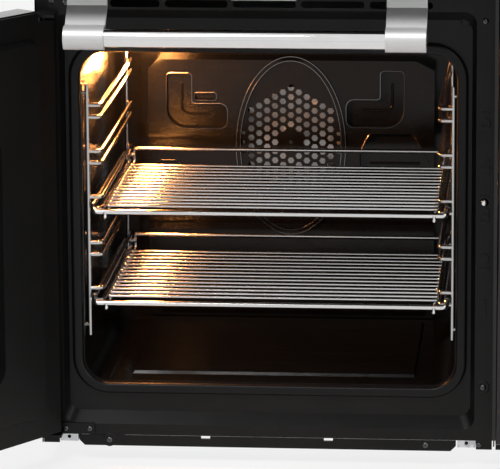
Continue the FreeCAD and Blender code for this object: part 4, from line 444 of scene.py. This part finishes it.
def screwGrowth():
    tree = Growth("cross_screws", radius=screwLook["radius"], rise=screwLook["rise"],
                  slotWidth=screwLook["slotWidth"], slotLength=screwLook["slotLength"])
    radius, rise = tree.size("radius"), tree.size("rise")
    ball = tree.add("MeshUVSphere", None, {"Segments": 28, "Rings": 14, "Radius": 1.0})
    dome = tree.add("Transform", None, {"Geometry": ball, "Scale": tree.vector(radius, radius, rise)})
    width, length, high = tree.size("slotWidth"), tree.size("slotLength"), screwLook["slotHigh"]
    cutters = []
    for size in (tree.vector(width, length, high), tree.vector(length, width, high)):
        block = tree.add("MeshCube", None, {"Size": size})
        lift = tree.vector(0, 0, high / 2 + rise * screwLook["slotFloor"])
        cutters.append(tree.add("Transform", None, {"Geometry": block, "Translation": lift}))
    head = tree.add("MeshBoolean", {"operation": "DIFFERENCE"}, {"Mesh 1": dome, "Mesh 2": cutters})
    faced = tree.add("Transform", None, {"Geometry": head, "Rotation": (math.pi / 2, screwLook["turn"], 0)})
    tree.close(tree.place(faced), "screw")
    return tree


def screwPlaces(node, wide):
    bm, groups = solidsOf(node)
    places = []
    for group in groups:
        low, high, size = cornersOf(group)
        if wide[0] < high.x - low.x < wide[1]:
            places.append(((low.x + high.x) / 2, high.y, (low.z + high.z) / 2))
    bm.free()
    return places


crossScrews = screwGrowth()
framePlaces = screwPlaces("frame_screws", screwLook["frameWide"])
crossScrews.grow("frame_screw_heads", framePlaces, "cooker", "steel", ["frame_screws"])
crossScrews.grow("leg_screw_heads", screwPlaces("frame_screws", screwLook["legWide"]), "cooker", "steel",
                 radius=screwLook["legRadius"], rise=screwLook["legRise"])
hingePlaces = [(x, hingeScrews["face"], z) for x, z in hingeScrews["spots"]]
crossScrews.grow("hinge_screw_heads", hingePlaces, "cooker", "steel", radius=hingeScrews["radius"])
print("screws grown")


# Turned rings and buttons: a profile of (radius, height) spun about a line out of the front face
def turnedPiece(name, profile, places, body, finish, slot, steps=40):
    bm = bmesh.new()
    for x, y, z in places:
        ring = [bm.verts.new((radius, 0, height)) for radius, height in profile]
        edges = [bm.edges.new(pair) for pair in zip(ring, ring[1:])]
        bmesh.ops.spin(bm, geom=ring + edges, cent=(0, 0, 0), axis=(0, 0, 1), angle=2 * math.pi, steps=steps)
        fresh = {vertex for face in bm.faces if not face.tag for vertex in face.verts}
        for face in bm.faces:
            face.tag = True
        turn = Matrix.Translation((x, y, z)) @ Matrix.Rotation(math.pi / 2, 4, "X")
        bmesh.ops.transform(bm, matrix=turn, verts=list(fresh | set(ring)))
    bmesh.ops.remove_doubles(bm, verts=bm.verts, dist=weld["turned"])
    bmesh.ops.recalc_face_normals(bm, faces=bm.faces)
    return addPiece(name, meshFrom(bm, name, crease["turned"]), body, finish, slot)


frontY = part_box("front_frame_left")[0].y
dimple = {"outer": 0.0075, "inner": 0.0058, "rise": 0.0005, "floor": 0.0002, "step": 0.0008, "slope": 0.0006,
          "sunk": 0.0008, "count": 4}
dimpleProfile = [(0.0, dimple["floor"]), (dimple["inner"] - dimple["step"], dimple["floor"]),
                 (dimple["inner"], dimple["rise"]), (dimple["outer"] - dimple["slope"], dimple["rise"]),
                 (dimple["outer"], 0.0), (0.0, -dimple["sunk"]), (0.0, dimple["floor"])]
turnedPiece("screw_dimples", dimpleProfile, framePlaces[:dimple["count"]], "cooker", "frame", "enamel_grey")
plug = {"x": -0.0335, "depth": 0.012, "z": 0.4955,
        "profile": [(0.0, 0.0016), (0.0035, 0.0014), (0.0052, 0.0009), (0.006, 0.0), (0.006, -0.0008),
                    (0.0, -0.0008), (0.0, 0.0016)]}
plugPlace = (plug["x"], frontY + plug["depth"], plug["z"])
turnedPiece("recess_plugs", plug["profile"], [plugPlace], "cooker", "frame", "enamel_grey")


# Shelf numbers raised on the flange beside the oven mouth, each with a thin lighter outline that is a painted
# highlight on its raised edge
shelfMarks = {"x": -0.0110, "high": 0.0190, "capShare": 0.72, "raise": 0.0007, "edge": 0.0007, "lift": 0.002,
              "heights": {"5": 0.3857, "4": 0.3342, "3": 0.2809, "2": 0.2286, "1": 0.1770}}


def raisedMarks(name, marks, size, depth, body, finish, slot, outline=False):
    bm = bmesh.new()
    for text, (x, y, z) in marks:
        data = bpy.data.curves.new(name + "_text", "FONT")
        data.body, data.size, data.extrude = text, size, depth
        data.bevel_depth, data.bevel_resolution = depth * 0.5, 1
        if outline:
            data.extrude, data.fill_mode, data.offset = 0, "NONE", depth
        data.align_x, data.align_y = "CENTER", "CENTER"
        holder = bpy.data.objects.new(name + "_text", data)
        scene.collection.objects.link(holder)
        flat = bpy.data.meshes.new_from_object(holder.evaluated_get(bpy.context.evaluated_depsgraph_get()))
        bpy.data.objects.remove(holder)
        flat.transform(Matrix.Translation((x, y, z)) @ Matrix.Rotation(math.pi / 2, 4, "X"))
        bm.from_mesh(flat)
    return addPiece(name, meshFrom(bm, name, crease["turned"]), body, finish, slot)


levelMarks = [(digit, (shelfMarks["x"], frontY, height + shelfMarks["lift"]))
              for digit, height in shelfMarks["heights"].items()]
letterSize = shelfMarks["high"] / shelfMarks["capShare"]
raisedMarks("shelf_numbers", levelMarks, letterSize, shelfMarks["raise"], "cooker", "frame", "enamel_grey")
# The number outlines take the edge finish, a painted highlight on the raised edges
raisedMarks("shelf_number_edges", levelMarks, letterSize, shelfMarks["edge"], "cooker", "edge", "enamel_grey",
            outline=True)
print("shelf numbers raised")


# Bare plate on the flange over the air slots
plate = {"left": -0.288, "right": -0.214, "low": 0.5175, "high": 0.5335, "corner": 0.002, "thick": 0.0008}


def barePlate(name, finish, slot):
    depth, sides = plate["thick"], (plate["left"], plate["right"])
    loop = [(x, plate["low"]) for x in sides] + [(x, plate["high"]) for x in reversed(sides)]
    bm = bmesh.new()
    verts = [bm.verts.new((x, frontY - depth, z)) for x, z in loop]
    face = bm.faces.new(verts)
    wall = bmesh.ops.extrude_face_region(bm, geom=[face])["geom"]
    backVerts = [part for part in wall if isinstance(part, bmesh.types.BMVert)]
    bmesh.ops.translate(bm, vec=(0, depth, 0), verts=backVerts)
    upright = [edge for edge in bm.edges if abs(edge.verts[0].co.y - edge.verts[1].co.y) > depth / 2]
    bmesh.ops.bevel(bm, geom=upright, offset=plate["corner"], segments=5, affect="EDGES")
    rim = [edge for edge in bm.edges if max(vertex.co.y for vertex in edge.verts) < frontY - depth * 0.9]
    bmesh.ops.bevel(bm, geom=rim, offset=depth * 0.4, segments=2, affect="EDGES")
    bmesh.ops.recalc_face_normals(bm, faces=bm.faces)
    return addPiece(name, meshFrom(bm, name, crease["turned"]), "cooker", finish, slot)


barePlate("bare_plate", "strap", "steel")
print("bare plate made")


# Thin lighter rims round the air holes of the fan cover, painted highlights on the hole edges; the cover's
# face leans back towards its top
holeField = {"pitch": 0.0108, "diameter": 0.0085, "small": 0.0055, "rings": 6, "rim": 0.00035,
             "sideRows": 1.2, "middle": 1.1}
cover = {"depth": 0.345, "lean": 0.004, "top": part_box("fan_cover")[1].z}
fanLow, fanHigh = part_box("fan_impeller")
fanCentre = Vector(((fanLow.x + fanHigh.x) / 2, 0, (fanLow.z + fanHigh.z) / 2))


def onCover(across, height):
    lean = max(0.0, height - fanCentre.z) / (cover["top"] - fanCentre.z) * cover["lean"]
    return (fanCentre.x + across, frontY + cover["depth"] + lean, height)


def holePlaces():
    wide, narrow = [], []
    pitch, rings = holeField["pitch"], holeField["rings"]
    for column in range(-rings, rings + 1):
        for index in range(2 * rings - abs(column) + 1):
            across = column * pitch * math.cos(math.radians(30))
            offset = rings - abs(column) / 2 - index
            distance = math.hypot(across, offset * pitch)
            atSide = abs(column) == rings
            nearMiddle = distance < pitch * holeField["middle"] and (column or offset)
            if nearMiddle or (atSide and abs(offset) > holeField["sideRows"]):
                continue
            holes = narrow if atSide or distance < pitch else wide
            holes.append(onCover(across, fanCentre.z + offset * pitch))
    return wide, narrow


def rimGrowth():
    tree = Growth("hole_rims", across=holeField["diameter"], thickness=holeField["rim"])
    path = tree.circle(6, tree.size("across") / 2)
    section = tree.circle(4, tree.size("thickness"))
    tube = tree.add("CurveToMesh", None, {"Curve": path, "Profile Curve": section})
    faced = tree.add("Transform", None, {"Geometry": tube, "Rotation": (math.pi / 2, 0, 0)})
    tree.close(tree.place(faced), "edge")
    return tree


# Thin bright tubes along the pressed dishes and the oval bead: painted highlights standing in for the light
# that their rounded edges catch
coverEdges = {"thickness": 0.0005, "ovalWide": 0.129, "ovalHigh": 0.212, "ovalDrop": 0.004, "ovalBand": 0.005,
              "ovalProud": 0.0025, "ovalSteps": 72, "floor": 0.02}
dishCorners = [  # side, corners in millimetres from the fan's middle line and the oven's foot, radii
    (-1, [(75, 288), (147, 288), (147, 354), (117, 354), (117, 318), (75, 318)], [9, 24, 5, 5, 4, 9]),
    (1, [(65, 291), (133, 291), (133, 358), (105, 358), (105, 324), (65, 324)], [9, 21, 5, 5, 4, 9]),
    (-1, [(88, 321.5), (113.5, 321.5), (113.5, 331), (88, 331)], [3, 3, 3, 3]),
    (1, [(81, 208), (162, 208), (162, 252), (144, 284), (92, 284), (81, 262)], [8, 8, 12, 10, 8, 10]),
    (-1, [(131, 208), (160, 208), (160, 250), (131, 250)], [8, 8, 8, 8]),
]


def roundedLoop(corners, radii, steps=7):
    points = []
    for index, radius in enumerate(radii):
        corner = Vector(corners[index])
        before = (Vector(corners[index - 1]) - corner).normalized()
        after = (Vector(corners[(index + 1) % len(corners)]) - corner).normalized()
        half = before.angle(after) / 2
        centre = corner + (before + after).normalized() * radius / math.sin(half)
        first = corner + before * radius / math.tan(half)
        last = corner + after * radius / math.tan(half)
        for step in range(steps):
            way = (first - centre).lerp(last - centre, step / (steps - 1)).normalized()
            points.append(centre + way * radius)
    return points


def edgeGrowth():
    tree = Growth("cover_edges", thickness=coverEdges["thickness"])
    path = tree.add("MeshToCurve", None, {"Mesh": tree.size("Points")})
    section = tree.circle(6, tree.size("thickness"))
    tree.close(tree.add("CurveToMesh", None, {"Curve": path, "Profile Curve": section}), "glint")
    return tree


edgePoints, edgeLinks, loops = [], [], []
for side, corners, radii in dishCorners:
    loop = roundedLoop(corners, radii)
    loops.append([onCover(side * point.x / 1000, coverEdges["floor"] + point.y / 1000) for point in loop])
ovalMiddle = fanCentre.z - coverEdges["ovalDrop"]
for shrink in (0.0, 2 * coverEdges["ovalBand"]):
    wide, high = (coverEdges["ovalWide"] - shrink) / 2, (coverEdges["ovalHigh"] - shrink) / 2
    turns = [math.radians(360 / coverEdges["ovalSteps"] * step) for step in range(coverEdges["ovalSteps"])]
    oval = [onCover(math.cos(turn) * wide, ovalMiddle + math.sin(turn) * high) for turn in turns]
    loops.append([(x, y - coverEdges["ovalProud"], z) for x, y, z in oval])
for loop in loops:
    start = len(edgePoints)
    edgePoints.extend(loop)
    edgeLinks.extend((start + step, start + (step + 1) % len(loop)) for step in range(len(loop)))
# The dish and oval tubes take the glint finish, a painted highlight on the edges
edgeGrowth().grow("cover_edges", edgePoints, "cooker", "enamel_cavity", edges=edgeLinks)

rims = rimGrowth()
wideHoles, narrowHoles = holePlaces()
# The hole rims take the edge finish, a painted highlight on the hole edges
rims.grow("hole_rims_wide", wideHoles, "cooker", "enamel_cavity")
rims.grow("hole_rims_small", narrowHoles, "cooker", "enamel_cavity", across=holeField["small"])
print("hole rims grown:", len(wideHoles) + len(narrowHoles))


# Rounded ends on the cross wires of the two shelves
crossWires = {"count": 14, "first": 0.059, "last": 0.280, "half": 0.1819,
              "endRadius": 0.0021, "endLong": 1.25}
shelfLevels = {"shelf_upper": 0.103, "shelf_lower": 0.0}
shelfRise = {"rail": 0.1753, "side": 0.0058, "bar": -0.006, "long": -0.0047, "cross": 0.0033}


def wireEnds(node):
    low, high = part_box(node)
    middle = (low.x + high.x) / 2
    height = shelfRise["rail"] + shelfLevels[node]
    for part in ("side", "bar", "long", "cross"):
        height += shelfRise[part]
    first, last, count = frontY + crossWires["first"], frontY + crossWires["last"], crossWires["count"]
    rows = [first + (last - first) / (count - 1) * number for number in range(count)]
    return [(middle + side * crossWires["half"], row, height) for row in rows for side in (-1, 1)]


def endGrowth():
    tree = Growth("wire_ends", radius=crossWires["endRadius"])
    ball = tree.add("MeshIcoSphere", None, {"Radius": tree.size("radius"), "Subdivisions": 2})
    drawn = tree.add("Transform", None, {"Geometry": ball, "Scale": (crossWires["endLong"], 1, 1)})
    tree.close(tree.place(drawn), "wire")
    return tree


balls = endGrowth()
for shelfNode in shelfLevels:
    balls.grow(shelfNode + "_wire_ends", wireEnds(shelfNode), bodyOf[shelfNode], "chrome")
print("shelf wire ends grown")


# Scale marks and numbers round the knobs, and a pointer line on each knob
dial = {"ring": 0.0245, "marks": 11, "markWide": 0.0009, "markLong": 0.0034, "sweep": 270.0, "thick": 0.0003}
dialNumbers = {"count": 5, "high": 0.0062, "out": 0.0062, "thick": 0.00012, "proud": 0.0001}
pointer = {"size": (0.0018, 0.0006, 0.012), "rise": 0.0065, "rounding": 0.0002}
knobPlaces = {}
for knobNumber in range(1, 9):
    low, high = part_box("knob_%d" % knobNumber)
    knobPlaces[knobNumber] = Vector(((low.x + high.x) / 2, low.y, (low.z + high.z) / 2))
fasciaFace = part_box("control_fascia")[0].y


def markGrowth():
    tree = Growth("dial_marks", ring=dial["ring"], wide=dial["markWide"], long=dial["markLong"],
                  marks=dial["marks"], sweep=math.radians(dial["sweep"]), thick=dial["thick"])
    bar = tree.vector(tree.size("wide"), tree.size("thick"), tree.size("long"))
    stroke = tree.add("MeshCube", None, {"Size": bar})
    row = tree.add("MeshLine", {"mode": "OFFSET"}, {"Count": tree.size("marks"), "Offset": (0, 0, 0)})
    number = tree.add("InputIndex")
    turn = tree.size("sweep") * (number / (tree.size("marks") - 1) - 0.5)
    ring = tree.size("ring")
    spot = tree.vector(turn.mix("SINE", turn) * ring, 0, turn.mix("COSINE", turn) * ring)
    placed = tree.add("SetPosition", None, {"Geometry": row, "Position": spot})
    facing = tree.vector(0, turn, 0)
    circle = tree.add("InstanceOnPoints", None, {"Points": placed, "Instance": stroke, "Rotation": facing})
    tree.close(tree.place(circle), "print")
    return tree


dialCentres = [(spot.x, fasciaFace - dial["thick"] / 2, spot.z) for spot in knobPlaces.values()]
markGrowth().grow("dial_marks", dialCentres, "cooker", "enamel_black")
for knobNumber, spot in knobPlaces.items():
    bm = bmesh.new()
    bmesh.ops.create_cube(bm, size=1.0)
    bmesh.ops.scale(bm, vec=pointer["size"], verts=bm.verts)
    bmesh.ops.translate(bm, vec=(spot.x, spot.y, spot.z + pointer["rise"]), verts=bm.verts)
    bmesh.ops.bevel(bm, geom=bm.edges, offset=pointer["rounding"], segments=2, affect="EDGES")
    name = "pointer_%d" % knobNumber
    addPiece(name, meshFrom(bm, name), "control_%d" % knobNumber, "plastic", "steel")
numberMarks, reach = [], dial["ring"] + dialNumbers["out"]
for knobNumber, spot in knobPlaces.items():
    for step in range(1, dialNumbers["count"] + 1):
        turn = math.radians(dial["sweep"] * (step * 2 / (dial["marks"] - 1) - 0.5))
        x, z = spot.x + math.sin(turn) * reach, spot.z + math.cos(turn) * reach
        numberMarks.append((str(step), (x, fasciaFace - dialNumbers["proud"], z)))
raisedMarks("dial_numbers", numberMarks, dialNumbers["high"], dialNumbers["thick"], "cooker", "print",
            "enamel_black")
print("dials marked")


# Camera, floor and light
viewpoint = {"place": (0.081, -4.355, 1.1795), "yaw": 0.0857, "pitch": 0.2224, "roll": -0.006, "lens": 275.3,
             "near": 0.05, "far": 60}
studio = {"worldLight": 0.25, "floorHalf": 14, "floorGlow": 0.8}
softboxes = {
    "key_softbox": {"place": (-1.6, -2.4, 3.6), "aim": (0, -0.1, 0.6), "size": (2.4, 1.2), "power": 130},
    "fill_softbox": {"place": (2.8, -2.6, 2.2), "aim": (0, 0, 0.45), "size": (2.0, 2.0), "power": 25},
    "back_softbox": {"place": (0.5, 3.4, 2.6), "aim": (0, 0.2, 0.5), "size": (3.0, 1.6), "power": 25},
}
ovenLight = {"colour": (1.0, 0.36, 0.09), "soft": 0.02,  # each spot: its way from the lamp glass, its power
             "spots": [((-0.028, -0.05, -0.014), 6.5), ((-0.024, 0.13, -0.05), 3.5)]}


def makeCamera():
    camera = bpy.data.objects.new("camera", bpy.data.cameras.new("camera"))
    scene.collection.objects.link(camera)
    yaw, pitch = viewpoint["yaw"], viewpoint["pitch"]
    forward = Vector((-math.sin(yaw) * math.cos(pitch), math.cos(yaw) * math.cos(pitch), -math.sin(pitch)))
    level = Vector((math.cos(yaw), math.sin(yaw), 0))
    upright = level.cross(forward)
    right = level * math.cos(viewpoint["roll"]) + upright * math.sin(viewpoint["roll"])
    above = right.cross(forward)
    turn = Matrix((right, above, -forward)).transposed().to_4x4()
    camera.matrix_world = Matrix.Translation(viewpoint["place"]) @ turn
    camera.data.sensor_width = 36
    camera.data.lens = viewpoint["lens"]
    camera.data.clip_start, camera.data.clip_end = viewpoint["near"], viewpoint["far"]
    scene.camera = camera


def directRay(tree):
    path = tree.nodes.new("ShaderNodeLightPath")
    seen, mirrored, through = [Wire(tree, path.outputs[key])
                               for key in ("Is Camera Ray", "Is Glossy Ray", "Is Transmission Ray")]
    return seen.mix("MAXIMUM", seen.mix("MAXIMUM", seen, mirrored), through)


def makeFloor():
    bm = bmesh.new()
    bmesh.ops.create_grid(bm, x_segments=8, y_segments=8, size=studio["floorHalf"])
    mesh = meshFrom(bm, "floor")
    floor = bpy.data.objects.new("floor", mesh)
    scene.collection.objects.link(floor)
    look = Finish("floor_white", {"Roughness": 0.8})
    look.feed("Base Color", look.ramp(look.noise(0.6, 2), [(0.3, 0.84), (0.7, 0.88)]))
    glow = look.node("Emission", None, {"Color": (1, 1, 1, 1), "Strength": 1.0})
    share = directRay(look.tree) * studio["floorGlow"]
    both = look.node("MixShader", None, {0: share, 1: Wire(look.tree, look.shader.outputs[0]), 2: glow})
    look.tree.links.new(both.socket, look.tree.nodes["Material Output"].inputs["Surface"])
    mesh.materials.append(look.material)


def makeWorld():
    world = bpy.data.worlds.new("studio")
    world.use_nodes = True
    scene.world = world
    tree = world.node_tree
    tree.nodes.clear()
    skies = []
    for strength in (studio["worldLight"], 1.0):
        sky = addNode(tree, "ShaderNodeBackground", None, {"Color": (1, 1, 1, 1), "Strength": strength})
        skies.append(Wire(tree, sky.outputs[0]))
    both = addNode(tree, "ShaderNodeMixShader", None, {0: directRay(tree), 1: skies[0], 2: skies[1]})
    addNode(tree, "ShaderNodeOutputWorld", None, {"Surface": Wire(tree, both.outputs[0])})


def areaLight(name, place, aim, size, power):
    data = bpy.data.lights.new(name, "AREA")
    data.energy = power
    data.shape, data.size, data.size_y = "RECTANGLE", size[0], size[1]
    lamp = bpy.data.objects.new(name, data)
    scene.collection.objects.link(lamp)
    lamp.location = place
    lamp.rotation_euler = (Vector(aim) - Vector(place)).to_track_quat("-Z", "Y").to_euler()


def ovenGlow(shift, power):
    low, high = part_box("oven_lamp")
    data = bpy.data.lights.new("oven_glow", "POINT")
    data.energy, data.color, data.shadow_soft_size = power, ovenLight["colour"], ovenLight["soft"]
    lamp = bpy.data.objects.new("oven_glow", data)
    scene.collection.objects.link(lamp)
    lamp.location = (low + high) / 2 + Vector(shift)


makeCamera()
makeFloor()
makeWorld()
for lightName, softbox in softboxes.items():
    areaLight(lightName, **softbox)
for lightShift, lightPower in ovenLight["spots"]:
    ovenGlow(lightShift, lightPower)
print("camera, floor and lights placed")
